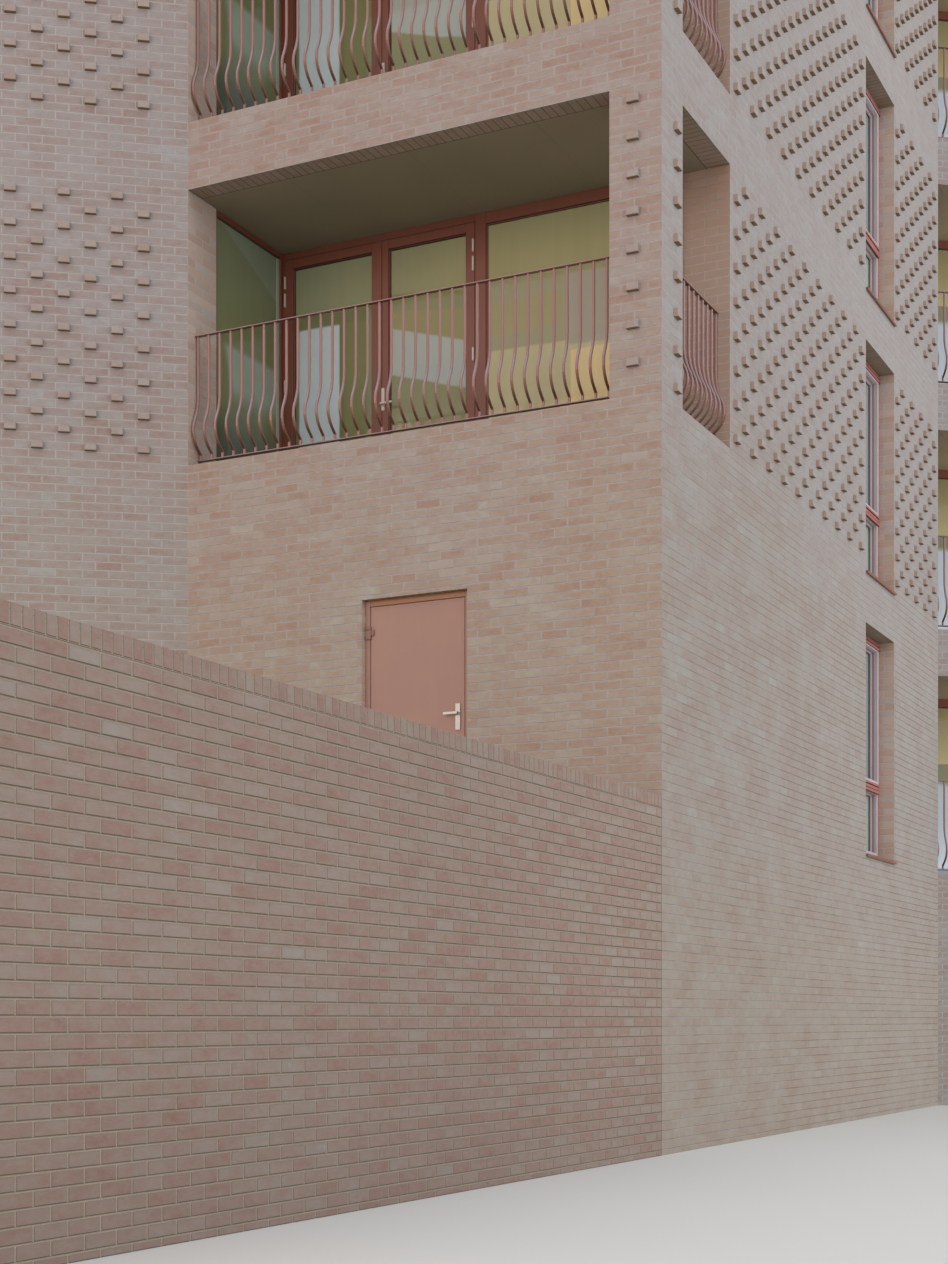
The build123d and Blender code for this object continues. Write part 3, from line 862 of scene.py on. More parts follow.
@dataclass(frozen=True)
class LoggiaGlass(Glass):
    """The bay's glass, with soft pale and yellow shapes painted in it as reflections."""

    name: str = "loggia_glazing"
    # Shapes painted in the rear glass as reflections: left and right, foot and head, how much
    # the head and foot drop over a metre, and their colour.
    shapes: tuple[tuple[float, float, float, float, float, Rgb], ...] = (
        (0.0, 1.05, 0.0, 1.95, 0.0, (0.165, 0.185, 0.085)),
        (0.65, 1.05, 0.0, 1.82, 0.0, (0.20, 0.215, 0.095)),
        (0.155, 0.6255, 0.0, 1.82, 0.0, (0.56, 0.67, 0.72)),
        (1.10, 2.05, 0.0, 2.02, 0.10, (0.225, 0.225, 0.10)),
        (1.10, 2.05, 1.30, 1.86, 0.12, (0.28, 0.245, 0.095)),
        (1.15, 2.05, 1.244, 1.70, 0.30, (0.375, 0.425, 0.395)),
        (2.15, 4.05, 0.0, 1.95, 0.0, (0.30, 0.285, 0.165)),
        (2.15, 2.95, 1.42, 1.72, -0.05, (0.33, 0.285, 0.13)),
        (2.15, 4.05, 0.0, 1.30, 0.0, (0.47, 0.42, 0.235)),
        (3.00, 4.05, 1.25, 1.90, 0.05, (0.33, 0.30, 0.235)),
        (3.02, 4.05, 0.0, 1.21, 0.0, (0.64, 0.50, 0.25)),
    )
    # The rear glass from its left end to its right, and the side glass at its foot, in its
    # middle and at its head, with the pale shape and the glare in it.
    rear: tuple[Rgb, Rgb] = ((0.265, 0.285, 0.175), (0.335, 0.32, 0.17))
    side: tuple[Rgb, Rgb, Rgb] = ((0.10, 0.115, 0.082), (0.235, 0.25, 0.12), (0.255, 0.285, 0.17))
    side_shape: Rgb = (0.42, 0.49, 0.41)
    side_glare: Rgb = (0.32, 0.40, 0.30)

    def make(self) -> Material:
        """Builds the glass from its place in the loggia."""
        g = Graph(self.name)
        where = g.place()
        x, y, z = g.split(where)
        face = FACES[Side.FRONT]
        # The shapes sit a little higher on each further storey.
        number, high = self.storey(z)
        high = high - (number - 1) * 0.18
        across = x - face.start[0]
        inward = y - face.start[1]
        wave = g.noise(g.stretched(where, 1.0, 1.0, 0.5), 1.6, 3.0)
        streaks = g.noise(g.stretched(where, 11.0, 11.0, 0.3), 1.0, 3.0)
        colour = g.mix(across.ramp(0.3, 2.6), *self.rear)
        # The shapes are painted reflections.
        for x0, x1, z0, z1, drop, tint in self.shapes:
            at = high + (across - x0) * drop + (wave - 0.5) * 0.06
            wide = across.ramp(x0, x0 + 0.02) * (1 - across.ramp(x1 - 0.02, x1))
            tall = at.ramp(z0 - 0.01, z0 + 0.02) * (1 - at.ramp(z1 - 0.02, z1 + 0.01))
            colour = g.mix(wide * tall * 0.9, colour, tint)
        foot, middle, head = self.side
        slope = (inward - 0.55 - (1.5 - high) * 0.30).ramp(0.0, 0.12)
        shape = slope * (1 - high.ramp(1.38, 1.46)) * high.ramp(0.88, 1.10)
        glare = (high - 2.55 + (inward - 0.45) * 0.45).ramp(0.0, 0.05)
        side = g.layered(
            g.mix(high.ramp(1.55, 2.3), middle, head),
            (1 - high.ramp(0.45, 1.0), foot),
            (shape * 0.7, self.side_shape),
            (glare * 0.5, self.side_glare),
        )
        colour = g.mix(1 - across.ramp(-0.02, 0.0), g.shade(colour, 1.12), side)
        colour = g.shade(colour, 0.86 + wave * 0.16 + streaks * 0.14)
        ripple = g.noise(where, 1.6, 2.0)
        return g.finish(colour, 0.04 + ripple * 0.03, g.bump(ripple * 0.003), specular=0.5)


@dataclass(frozen=True)
class Ground(Finish):
    """Plain pale studio floor."""

    name: str = "studio_floor"
    slot: str = ""
    colour: Rgb = (0.76, 0.745, 0.72)

    def make(self) -> Material:
        """Builds a matt, faintly cloudy floor."""
        g = Graph(self.name)
        cloud = g.noise(g.place(), 0.15, 2.0)
        return g.finish(g.shade(self.colour, 0.95 + cloud * 0.1), 0.95, specular=0.1)


BRICK = BrickWall()
GARDEN_BRICK = LooseBrick(name="garden_wall_brick", across=GARDEN_LONG / GARDEN_PER_ROW)
COPING_BRICK = LooseBrick(
    name="coping_brick", across=GARDEN_LONG / GARDEN_UNITS, high=10.0, level=0.0, bonded=False,
)
HEADER_BRICK = LooseBrick(
    name="header_brick", slot="brick", high=0.150, level=0.012, bonded=False, across=0.1, rim=None,
    bricks=((0.0, (0.33, 0.25, 0.22)), (0.5, (0.355, 0.292, 0.266)), (1.0, (0.375, 0.336, 0.318))),
    pale=(0.40, 0.365, 0.35), red=(0.33, 0.225, 0.19), under=(0.19, 0.105, 0.05),
)
MORTAR = Mortar()
CONCRETE = Concrete()
SOFFIT = SoffitPaint()
OXIDE = Paint(
    "oxide_frame", "frame_paint", (0.205, 0.066, 0.040), rough=0.36, dust=0.12,
    below=(0.115, 0.04, 0.022),
)
SALMON = Paint(
    "salmon_frame", "frame_paint", (0.43, 0.145, 0.11), rough=0.4, below=(0.17, 0.055, 0.038),
)
MAUVE = Paint("mauve_sash", "frame_paint", (0.60, 0.49, 0.52), rough=0.36)
UMBER = Paint("umber_sash", "frame_paint", (0.37, 0.27, 0.26), rough=0.4)
RAILING = Paint(
    "railing_pink", "railing_paint", (0.33, 0.165, 0.142), rough=0.28, coat=0.2, dust=0.0,
    above=(0.35, 0.28, 0.32), below=(0.205, 0.08, 0.042),
)
DOOR = Paint("door_leaf_paint", "door_paint", (0.366, 0.21, 0.163), rough=0.5)
RUSSET = Paint("russet_frame", "frame_paint", (0.34, 0.155, 0.075), rough=0.4)
HINGE = Paint("hinge_paint", "steel", (0.26, 0.12, 0.09), rough=0.4)
COPING = Paint("coping_metal", "coping_paint", (0.30, 0.17, 0.13), rough=0.4)
SILL = Paint("sill_metal", "coping_paint", (0.27, 0.115, 0.075), rough=0.4, dust=0.1)
GASKET = Paint("gasket", "glass", (0.045, 0.035, 0.03), rough=0.5, dust=0.0)
EDGE = Paint("glass_edge", "glass", (0.38, 0.46, 0.36), rough=0.4, dust=0.0)
PALE = Paint("pale_fitting", "steel", (0.60, 0.57, 0.52), rough=0.3, dust=0.0)
STEEL = Steel()
GLASS = LoggiaGlass()
END_GLASS = Glass()
WINDOW_GLASS = Glass(
    name="window_glazing", upper=(0.30, 0.315, 0.30), lower=(0.44, 0.47, 0.39),
    streak=(0.40, 0.42, 0.39), change=0.84,
)
GROUND = Ground()


# ---- Modelling


def deselect() -> None:
    """Deselects everything."""
    bpy.ops.object.select_all(action="DESELECT")


def activate(piece: Piece) -> None:
    """Makes a piece the only one selected, and active."""
    deselect()
    piece.select_set(True)
    bpy.context.view_layer.objects.active = piece


@contextlib.contextmanager
def editing(piece: Piece) -> Iterator[bmesh.types.BMesh]:
    """Edit mode on one piece, with nothing in it selected.

    Args:
        piece: The piece to edit.

    Yields:
        The piece's edit mesh, for selecting by place or normal.
    """
    activate(piece)
    bpy.ops.object.mode_set(mode="EDIT")
    bpy.ops.mesh.select_all(action="DESELECT")
    try:
        yield bmesh.from_edit_mesh(piece.data)
    finally:
        bpy.ops.object.mode_set(mode="OBJECT")


def pick(
    piece: Piece, kind: str, items: Iterable[Any], keep: Callable[[Any], bool],
) -> None:
    """Selects some faces or edges of the piece in edit mode.

    Args:
        piece: The piece.
        kind: "FACE" or "EDGE".
        items: All faces or edges of its edit mesh.
        keep: Test for those to select.
    """
    bpy.ops.mesh.select_mode(type=kind)
    for item in items:
        item.select_set(keep(item))
    bmesh.update_edit_mesh(piece.data)


def block(
    low: Point, high: Point, bevel: float = 0.0, front_only: bool = False,
) -> Piece:
    """A block between two corners with eased edges.

    Args:
        low, high: Lowest and highest corner.
        bevel: Width of the eased edges.
        front_only: Eases only the edges of the face that looks outwards, towards -y.

    Returns:
        The new piece.
    """
    deselect()
    size = [b - a for a, b in zip(low, high)]
    mid = [(a + b) / 2 for a, b in zip(low, high)]
    bpy.ops.mesh.primitive_cube_add(size=1, location=mid, scale=size)
    piece = bpy.context.object
    bpy.ops.object.transform_apply(location=True, rotation=True, scale=True)
    if bevel:
        with editing(piece) as mesh:
            front = low[1] + 1e-5
            pick(
                piece, "EDGE", mesh.edges,
                lambda e: not front_only or all(v.co.y < front for v in e.verts),
            )
            bpy.ops.mesh.bevel(offset=bevel, segments=1, affect="EDGES")
    return piece


def array(piece: Piece, count: int, step: Point) -> Piece:
    """Repeats a piece at an even step."""
    if count > 1:
        activate(piece)
        bpy.ops.object.modifier_add(type="ARRAY")
        made = piece.modifiers[-1]
        made.count = count
        made.use_relative_offset = False
        made.use_constant_offset = True
        made.constant_offset_displace = step
        bpy.ops.object.modifier_apply(modifier=made.name)
    return piece


def cut_off(piece: Piece, at: Vector, out: Vector) -> None:
    """Cuts off what lies beyond a plane and closes the cut.

    Args:
        piece: The piece to cut.
        at: A point of the plane.
        out: Direction of the part that goes.
    """
    with editing(piece):
        bpy.ops.mesh.select_all(action="SELECT")
        bpy.ops.mesh.bisect(plane_co=at, plane_no=out, use_fill=True, clear_outer=True)


def move(piece: Piece, matrix: Matrix) -> Piece:
    """Puts a piece somewhere, with its place in its mesh."""
    piece.matrix_world = matrix
    activate(piece)
    bpy.ops.object.transform_apply(location=True, rotation=True, scale=True)
    return piece


def twin(piece: Piece, matrix: Matrix) -> Piece:
    """A moved copy with a mesh of its own."""
    made = piece.copy()
    made.data = piece.data.copy()
    bpy.context.scene.collection.objects.link(made)
    return move(made, matrix)


def join(pieces: Iterable[Piece]) -> Piece:
    """Joins pieces into the first."""
    items = list(pieces)
    activate(items[0])
    if len(items) > 1:
        for item in items:
            item.select_set(True)
        bpy.ops.object.join()
    return items[0]


def copies(piece: Piece, places: Sequence[Matrix]) -> Piece:
    """Copies of a piece at several places, as one piece; the first is removed."""
    made = [twin(piece, place) for place in places]
    bpy.data.objects.remove(piece)
    return join(made)


def smooth(piece: Piece, degrees: float) -> Piece:
    """Smooth shading except over sharp edges."""
    activate(piece)
    bpy.ops.object.shade_smooth_by_angle(angle=math.radians(degrees))
    return piece


def dress(
    piece: Piece, name: str, finish: Finish, *instead: str, body: str = "block",
) -> None:
    """Names a finished piece, gives it its finish and lets it ride.

    Args:
        piece: The finished piece.
        name: Its name.
        finish: Its finish.
        instead: CAD nodes that it stands for.
        body: The body that it moves with.
    """
    piece.name = name
    piece.data.name = name
    piece.data.materials.clear()
    piece.data.materials.append(finish.material())
    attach(piece, body)
    if instead:
        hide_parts(*instead)
    log.info("%s: %d faces", name, len(piece.data.polygons))


# ---- Sub-assemblies


@dataclass
class Shell:
    """The CAD nodes whose shape is right, and the finish that each takes."""

    nodes: ClassVar[tuple[tuple[Finish, str], ...]] = (
        (BRICK, "corner_pier loggia_jamb front_loggia_bands side_loggia_bands"),
        (BRICK, "front_wall_beside_door front_wall_at_door"),
        (BRICK, "end_wall_piers end_loggia_walls end_loggia_bands"),
        (BRICK, "side_wall_piers left_wall_piers far_wall_piers back_wall_piers flank_wall_piers"),
        (BRICK, "side_wall_spandrels left_wall_spandrels far_wall_spandrels"),
        (BRICK, "back_wall_spandrels flank_wall_spandrels"),
        (CONCRETE, "west_floors bay_floors main_floors bay_loggia_decks end_loggia_decks"),
        (SOFFIT, "loggia_soffits"),
        (OXIDE, "loggia_rear_screens loggia_side_screens loggia_doors"),
        (OXIDE, "end_loggia_screens door_frame"),
        (GLASS, "loggia_glass"),
        (END_GLASS, "end_loggia_glass"),
        (WINDOW_GLASS, "window_glass"),
        (RAILING, "front_balustrades side_balustrades end_balustrades"),
        (SALMON, "window_frames"),
        (SILL, "window_sills"),
        (DOOR, "door_leaf"),
        (HINGE, "door_hinges door_hinge_pins"),
        (STEEL, "door_handles"),
        (COPING, "parapet_coping"),
        (MORTAR, "garden_wall garden_wall_coping"),
    )

    def build(self) -> None:
        """Gives every CAD node its finish in its own material slots."""
        finishes = {name: finish for finish, names in self.nodes for name in names.split()}
        for name, piece in frame["nodes"].items():
            finish = finishes[name]
            piece.data.materials.clear()
            piece.data.materials.append(finish.material())
            log.info("%s: %s", name, finish.name)


@dataclass
class HeaderGrid:
    """Header bricks that stand proud of the upper storeys in a staggered grid."""

    wide: float = 0.1025
    high: float = BRICK_HIGH
    proud: float = 0.038
    buried: float = 0.010
    first: float = 6.123
    rise: float = 0.300
    rows: int = 8
    ease: float = 0.004
    # Brickwork left plain beside windows and corners of the unseen faces.
    plain: float = 0.10
    # Runs of columns on each face: centre of the first one, how many, and how far the
    # first and the second start above the common level.
    runs: dict[Side, tuple[tuple[float, int, float, float], ...]] = field(default_factory=lambda: {
        Side.LEFT: ((LEFT_LONG - 0.391 - 6 * STRETCH, 7, 0.0, 0.15), (0.300, 7, 0.0, 0.15)),
        Side.FRONT: ((BAY_FRONT - 0.240, 1, 0.15, 0.0),),
        Side.SIDE: ((0.320, 1, 0.0, 0.15), (1.821, 19, 0.0, 0.15), (7.590, 9, -COURSE, COURSE)),
        Side.END: ((END_LOGGIA + 0.200, 10, 0.0, 0.15),),
    })

    def header(self) -> Piece:
        """One header with the edges of its outer end eased."""
        half = self.wide / 2
        low, high = (-half, -self.proud, 0), (half, self.buried, self.high)
        return block(low, high, self.ease, front_only=True)

    def windowed(self, side: Side) -> tuple[tuple[float, int, float, float], ...]:
        """Runs that fill the brickwork between the windows of an unseen face."""
        edges = [self.plain]
        for at in WINDOWS[side]:
            edges += [at - self.plain, at + WIN_WIDE + self.plain]
        edges.append(FACES[side].length - self.plain)
        found = []
        for a, b in zip(edges[::2], edges[1::2]):
            count = int((b - a - self.wide) // STRETCH) + 1
            start = (a + b - (count - 1) * STRETCH) / 2
            found.append((start, count, 0.0, self.rise / 2))
        return tuple(found)

    def run(self, side: Side, start: float, count: int, *lifts: float) -> list[Piece]:
        """The two sets of columns of one run, on all upper storeys."""
        made = []
        for odd in (0, 1):
            columns = (count + 1 - odd) // 2
            if not columns:
                continue
            piece = self.header()
            array(piece, self.rows, (0, 0, self.rise))
            array(piece, columns, (2 * STRETCH, 0, 0))
            array(piece, STOREYS - 1, (0, 0, STOREY))
            place = FACES[side].matrix(start + odd * STRETCH, 0, self.first + lifts[odd])
            made.append(move(piece, place))
        return made

    def build(self) -> None:
        """Builds one piece of headers for each face."""
        for side in Side:
            runs = self.runs.get(side) or self.windowed(side)
            made = [piece for run in runs for piece in self.run(side, *run)]
            dress(join(made), f"projecting_headers_{side.value}", HEADER_BRICK)


@dataclass
class ParapetCoping:
    """Metal coping in one length for each face, mitred at the corners with open joints."""

    low: float = floor_at(STOREYS) + 0.900
    high: float = 0.060
    over: float = 0.020
    joint: float = 0.003
    ease: float = 0.004
    spare: float = 0.600

    def build(self) -> None:
        """Builds the mitred lengths and trims the tips that stand out of the CAD model's box."""
        faces = list(FACES.values())
        made = []
        for i, face in enumerate(faces):
            piece = block(
                (-self.spare, -self.over, self.low),
                (face.length + self.spare, WALL + self.over, self.low + self.high), self.ease,
            )
            move(piece, face.matrix())
            after = faces[(i + 1) % len(faces)]
            for sign, other, corner in ((-1, faces[i - 1], face.start), (1, after, after.start)):
                out = (Vector(face.along) + Vector(other.along)).normalized().to_3d() * sign
                cut_off(piece, Vector((*corner, 0)) - out * self.joint / 2, out)
            made.append(piece)
        coping = join(made)
        low, high = (Vector(p) for p in CAD_BOX)
        for at, out in ((low, (-1, 0, 0)), (high, (1, 0, 0)), (high, (0, 1, 0))):
            cut_off(coping, at, Vector(out))
        dress(coping, "parapet_coping_lengths", COPING, "parapet_coping")


@dataclass
class RoofScreed:
    """Screed over the whole flat roof, in three bays that run on into the parapet walls."""

    thick: float = 0.030
    tuck: float = WALL / 2

    def build(self) -> None:
        """Lays the bays side by side and trims the middle one to the corner bay's two walls."""
        left = FACES[Side.LEFT].matrix()
        fold, corner, turn = (
            (left.inverted() @ FACES[side].matrix()).translation
            for side in (Side.FRONT, Side.SIDE, Side.END)
        )
        far = FACES[Side.BACK].length - self.tuck
        deep = FACES[Side.FLANK].length - self.tuck
        low, high = floor_at(STOREYS), floor_at(STOREYS) + self.thick
        bays = []
        for a, b, y in (
            (self.tuck, fold.x, self.tuck),
            (fold.x, turn.x - self.tuck, corner.y),
            (turn.x - self.tuck, far, turn.y + self.tuck),
        ):
            bays.append(move(block((a, y, low), (b, deep, high)), left))
        for side, out in ((Side.FRONT, (0, -1, 0)), (Side.SIDE, (1, 0, 0))):
            cut_off(bays[1], FACES[side].matrix(0, self.tuck, 0).translation, Vector(out))
        dress(join(bays), "roof_screed", CONCRETE)


@dataclass
class GardenWall:
    """The garden wall in stretcher bond with a brick-on-edge coping."""

    long: float = GARDEN_LONG
    thick: float = 0.330
    top: float = 2.746
    coping: float = 0.102
    joint: float = 0.010
    brick_deep: float = 0.1025
    recess: float = 0.0035
    level: float = GARDEN_START
    per_row: float = GARDEN_PER_ROW
    units: int = GARDEN_UNITS
    # Depth reached by the coping's outer bricks, where its inner ones start, and half of
    # the joint round each.
    outer: float = 0.215
    inner: float = 0.2275
    half_gap: float = 0.004
    # How far the mortar stays inside the bricks at the wall's end and at its top.
    end_recess: float = 0.003
    top_recess: float = 0.006

    def place(self) -> Matrix:
        """Local axes: x along the wall from its free end, y inwards from its outer face."""
        start = Vector((PLAN_SHIFT[0], PLAN_SHIFT[1] - self.long, 0))
        return Matrix.Translation(start) @ Matrix.Rotation(math.radians(90), 4, "Z")

    def course(self, low: float, high: float, shifted: bool) -> list[Piece]:
        """One course of bricks in one leaf of the wall, with a cut brick at one end."""
        half = self.joint / 2
        pitch = self.long / self.per_row
        count = int(self.per_row)
        made = []
        if shifted:
            cut = (half, pitch / 2 - half, 1)
            whole = (pitch / 2 + half, pitch * 1.5 - half, count)
        else:
            whole = (half, pitch - half, count)
            cut = (self.long - pitch / 2 + half, self.long - half, 1)
        for a, b, times in (whole, cut):
            piece = block((a, 0, low), (b, self.brick_deep, high), EASE)
            made.append(array(piece, times, (pitch, 0, 0)))
        return made

    def mortar(self, low: float, high: float, name: str, node: str) -> None:
        """Fills the space inside the bricks between two levels, in place of a CAD node."""
        bed = block(
            (self.end_recess, self.recess, low),
            (self.long, self.thick - self.recess, high), 0.002,
        )
        dress(move(bed, self.place()), name, MORTAR, node)

    def build(self) -> None:
        """Builds the bricks and the coping, each with its mortar."""
        rows = int((self.top - self.level) / COURSE)
        bricks = []
        for shifted in (True, False):
            course = join(self.course(self.level, self.level + BRICK_HIGH, shifted))
            start = int(not shifted)
            array(course, (rows - start + 1) // 2, (0, 0, 2 * COURSE))
            bricks.append(move(course, Matrix.Translation((0, 0, start * COURSE))))
        # The lowest course is cut down to what is left over the base.
        bricks += self.course(TUCK, self.level - self.joint, False)
        leaf = join(bricks)
        inner = twin(leaf, Matrix.Translation((0, self.thick - self.brick_deep, 0)))
        upper, full = self.top - TUCK, self.top + self.coping
        dress(move(join([leaf, inner]), self.place()), "garden_wall_bricks", GARDEN_BRICK)
        self.mortar(0, upper, "garden_wall_mortar", "garden_wall")
        pitch = self.long / self.units
        units = []
        for y0, y1 in ((0, self.outer), (self.inner, self.thick)):
            unit = block(
                (self.half_gap, y0, self.top + self.half_gap),
                (pitch - self.half_gap, y1, full), EASE,
            )
            units.append(array(unit, self.units, (pitch, 0, 0)))
        dress(move(join(units), self.place()), "garden_coping_bricks", COPING_BRICK)
        self.mortar(upper, full - self.top_recess, "garden_coping_mortar", "garden_wall_coping")


@dataclass
class Balustrade:
    """A run of bellied round bars between a flat top rail and a thin bottom rail."""

    kind: str
    wide: float
    places: list[Matrix]
    tab: float = 0.046
    radius: float = 0.0130
    pitch: float = 0.117
    bar: float = 0.020
    first: float = 0.024
    rail_back: float = 0.125
    foot_back: float = 0.045
    top: float = 1.200
    low: float = 0.085
    thick: float = 0.012
    deep: float = 0.042
    # The bar's line over its foot: straight runs, and turns of so many degrees outwards (+)
    # or back in so many steps. Each has its length or radius first.
    line: tuple[tuple[float, float, int], ...] = (
        (0.020, 49, 3), (0.060, 0, 0), (0.200, -74, 9), (0.033, 0, 0), (0.463, 25, 4),
    )

    def bar_piece(self) -> Piece:
        """One bar, drawn up from its foot by runs and turns.

        Returns:
            The bar, standing at x = 0.
        """
        deselect()
        at = Vector((0.0, self.rail_back + self.foot_back, self.low - self.thick / 2))
        bpy.ops.mesh.primitive_circle_add(
            vertices=8, radius=self.radius, fill_type="NGON", location=at,
        )
        piece = bpy.context.object
        bpy.ops.object.transform_apply(location=True, rotation=True, scale=True)
        lean = 0.0
        with editing(piece):
            bpy.ops.mesh.select_all(action="SELECT")
            for size, degrees, count in ((self.tab, 0, 0), *self.line):
                if not count:
                    go = Vector((0, -math.sin(lean), math.cos(lean))) * size
                    bpy.ops.mesh.extrude_region_move(TRANSFORM_OT_translate={"value": go})
                    at += go
                    continue
                turn = math.radians(degrees)
                out = Vector((0, -math.cos(lean), -math.sin(lean))) * math.copysign(size, turn)
                centre = at + out
                bpy.ops.mesh.spin(steps=count, angle=-turn, center=centre, axis=(1, 0, 0))
                at = centre + Matrix.Rotation(turn, 3, "X") @ -out
                lean += turn
            rest = Vector((0, 0, self.top - self.thick / 2 - at.z))
            bpy.ops.mesh.extrude_region_move(TRANSFORM_OT_translate={"value": rest})
            bpy.ops.mesh.select_all(action="SELECT")
            bpy.ops.mesh.normals_make_consistent(inside=False)
        return smooth(piece, 50.0)

    def build(self) -> None:
        """Builds the bars and rails of one run and copies them to every storey."""
        count = int((self.wide - self.bar) // self.pitch)
        margin = min(self.first, (self.wide - count * self.pitch) / 2)
        bars = array(self.bar_piece(), count + 1, (self.pitch, 0, 0))
        move(bars, Matrix.Translation((margin, 0, 0)))
        half = self.deep / 2
        foot = self.rail_back + self.foot_back
        rails = [
            block((0, back - half, z - self.thick), (self.wide, back + half, z), EASE)
            for back, z in ((self.rail_back, self.top), (foot, self.low))
        ]
        whole = copies(join([bars, *rails]), self.places)
        dress(whole, f"{self.kind}_balustrade_rails", RAILING, f"{self.kind}_balustrades")


def within(span: Span, low: float, high: float | None = None) -> Span:
    """A span drawn in at its two ends; less than 0 draws it out.

    Args:
        span: The span.
        low: How far the low end moves in.
        high: How far the high end moves in, if not as far as the low one.

    Returns:
        The new span.
    """
    return (span[0] + low, span[1] - (low if high is None else high))


@dataclass
class Joinery:
    """Frames put together from eased bars, in the axes of one face."""

    bars: list[Piece] = field(default_factory=list)

    def bar(self, x: Span, y: Span, z: Span, ease: float = EASE) -> None:
        """Adds one eased bar, given by its reach along each axis."""
        low, high = zip(x, y, z)
        self.bars.append(block(low, high, ease))

    def ring(self, x: Span, y: Span, z: Span, sides: float, *rails: float) -> None:
        """Adds a rectangular frame: two stiles that run through and two rails between.

        Args:
            x, y, z: Outer reach of the frame.
            sides: Width of the stiles.
            rails: Heights of the bottom and the top rail, if they aren't as wide.
        """
        foot, head = rails or (sides, sides)
        self.bar((x[0], x[0] + sides), y, z)
        self.bar((x[1] - sides, x[1]), y, z)
        between = within(x, sides - TUCK)
        self.bar(between, within(y, TUCK), (z[0], z[0] + foot))
        self.bar(between, within(y, TUCK), (z[1] - head, z[1]))

    def fit(
        self, places: Sequence[Matrix], name: str, finish: Finish, *instead: str,
        body: str = "block",
    ) -> None:
        """Copies the bars to their places as one piece and dresses it, as dress() does."""
        whole = copies(join(self.bars), places)
        dress(whole, name, finish, *instead, body=body)


@dataclass
class LoggiaScreens:
    """Frames, door leaves, beads, hinge barrels and handles of the bay's loggias."""

    post: float = 0.105
    head: float = 0.070
    sill: float = 0.040
    rail: float = 0.110
    leaf: float = 0.088
    leaf_foot: float = 0.150
    gap: float = 0.003
    split: float = 1.080
    leaf_end: float = 2.080
    post_end: float = 2.190
    # Foot and head of each hinge barrel.
    barrels: tuple[Span, ...] = ((2.064, 2.200), (2.240, 2.360), (1.232, 1.357), (0.180, 0.305))
    # Heights of the handle's plate and of its lever.
    plate: Span = (0.905, 1.120)
    lever: Span = (0.955, 0.975)

    def build(self) -> None:
        """Builds the screens of one storey and copies them up."""
        y = (LOGGIA_DEEP, LOGGIA_DEEP + SCREEN)
        rail_y = (y[0] + TUCK, y[1])
        left, right = self.post - SCREEN, BAY_FRONT - WALL - self.post
        top = LOGGIA_HEAD
        places = FACES[Side.FRONT].storeys(1)
        frames = Joinery()
        for x in (
            (left - self.post, left), (self.leaf_end, self.post_end), (right, right + self.post),
        ):
            frames.bar(x, y, (0, top))
        fixed = (self.post_end, right)
        for x, foot, head in (
            ((left, self.leaf_end), self.sill, self.head), (fixed, self.rail, self.rail),
        ):
            frames.bar(x, rail_y, (top - head, top))
            frames.bar(x, rail_y, (0, foot))
        frames.ring(fixed, (y[0] + 0.012, y[0] + 0.030), (self.rail, top - self.rail), 0.014)
        frames.fit(places, "loggia_screen_frames", OXIDE, "loggia_rear_screens")
        leaves, seals = Joinery(), Joinery()
        z = (self.sill + self.gap, top - self.head - self.gap)
        for x in ((left, self.split), (self.split, self.leaf_end)):
            x = within(x, 0.002)
            leaves.ring(x, (y[0] - 0.006, y[1] - 0.008), z, self.leaf, self.leaf_foot, self.leaf)
            inner_x, inner_z = within(x, self.leaf), within(z, self.leaf_foot, self.leaf)
            leaves.ring(inner_x, (y[0] + 0.008, y[0] + 0.028), inner_z, 0.010)
            seals.ring(
                within(inner_x, 0.009), (y[0] + 0.018, y[0] + 0.029), within(inner_z, 0.009), 0.006,
            )
        # The strip that covers the joint between the two leaves.
        strip = (self.split - 0.030, self.split + 0.022)
        leaves.bar(strip, (y[0] - 0.018, y[0] - 0.004), within(z, 0.002, self.gap))
        leaves.fit(places, "loggia_door_leaves", OXIDE, "loggia_doors")
        seals.fit(places, "loggia_glass_seals", GASKET)
        self.side_screens()
        self.fittings(places)

    def side_screens(self) -> None:
        """The fixed light at the left end of each loggia, seen from inside it."""
        # Local x runs from the front of the loggia to its back, y into the building.
        x, z, y = (WALL, LOGGIA_DEEP), (0, LOGGIA_HEAD), (0, SCREEN)
        turn = Matrix(((0, -1, 0, 0), (1, 0, 0, 0), (0, 0, 1, 0), (0, 0, 0, 1)))
        places = [place @ turn for place in FACES[Side.FRONT].storeys(1)]
        inner_x, inner_z = within(x, 0.012, 0.040), within(z, self.rail, 0.060)
        bars, seals = Joinery(), Joinery()
        for stile in ((x[0], inner_x[0]), (inner_x[1], x[1])):
            bars.bar(stile, y, z)
        for rail in ((inner_z[1], z[1]), (z[0], inner_z[0])):
            bars.bar(inner_x, (TUCK, SCREEN), rail)
        seals.bar((x[1] - 0.082, x[1] - 0.038), (0.020, 0.034), inner_z)
        bars.fit(places, "loggia_side_frames", OXIDE, "loggia_side_screens")
        seals.fit(places, "loggia_side_seals", EDGE)

    def fittings(self, places: Sequence[Matrix]) -> None:
        """Pale hinge barrels in pairs, long handle plates and levers."""
        parts = Joinery()
        y = LOGGIA_DEEP - 0.006
        for x in (0.027, self.leaf_end - 0.015):
            for z in self.barrels:
                parts.bar((x - 0.009, x + 0.009), (y - 0.016, y + 0.004), z, 0.005)
        x = self.split + 0.034
        parts.bar((x - 0.017, x + 0.017), (y - 0.010, y + 0.002), self.plate, 0.004)
        parts.bar((x - 0.010, x + 0.010), (y - 0.050, y - 0.008), self.lever, 0.004)
        parts.bar((x - 0.010, x + 0.120), (y - 0.056, y - 0.040), self.lever, 0.005)
        parts.fit(places, "loggia_door_fittings", PALE)


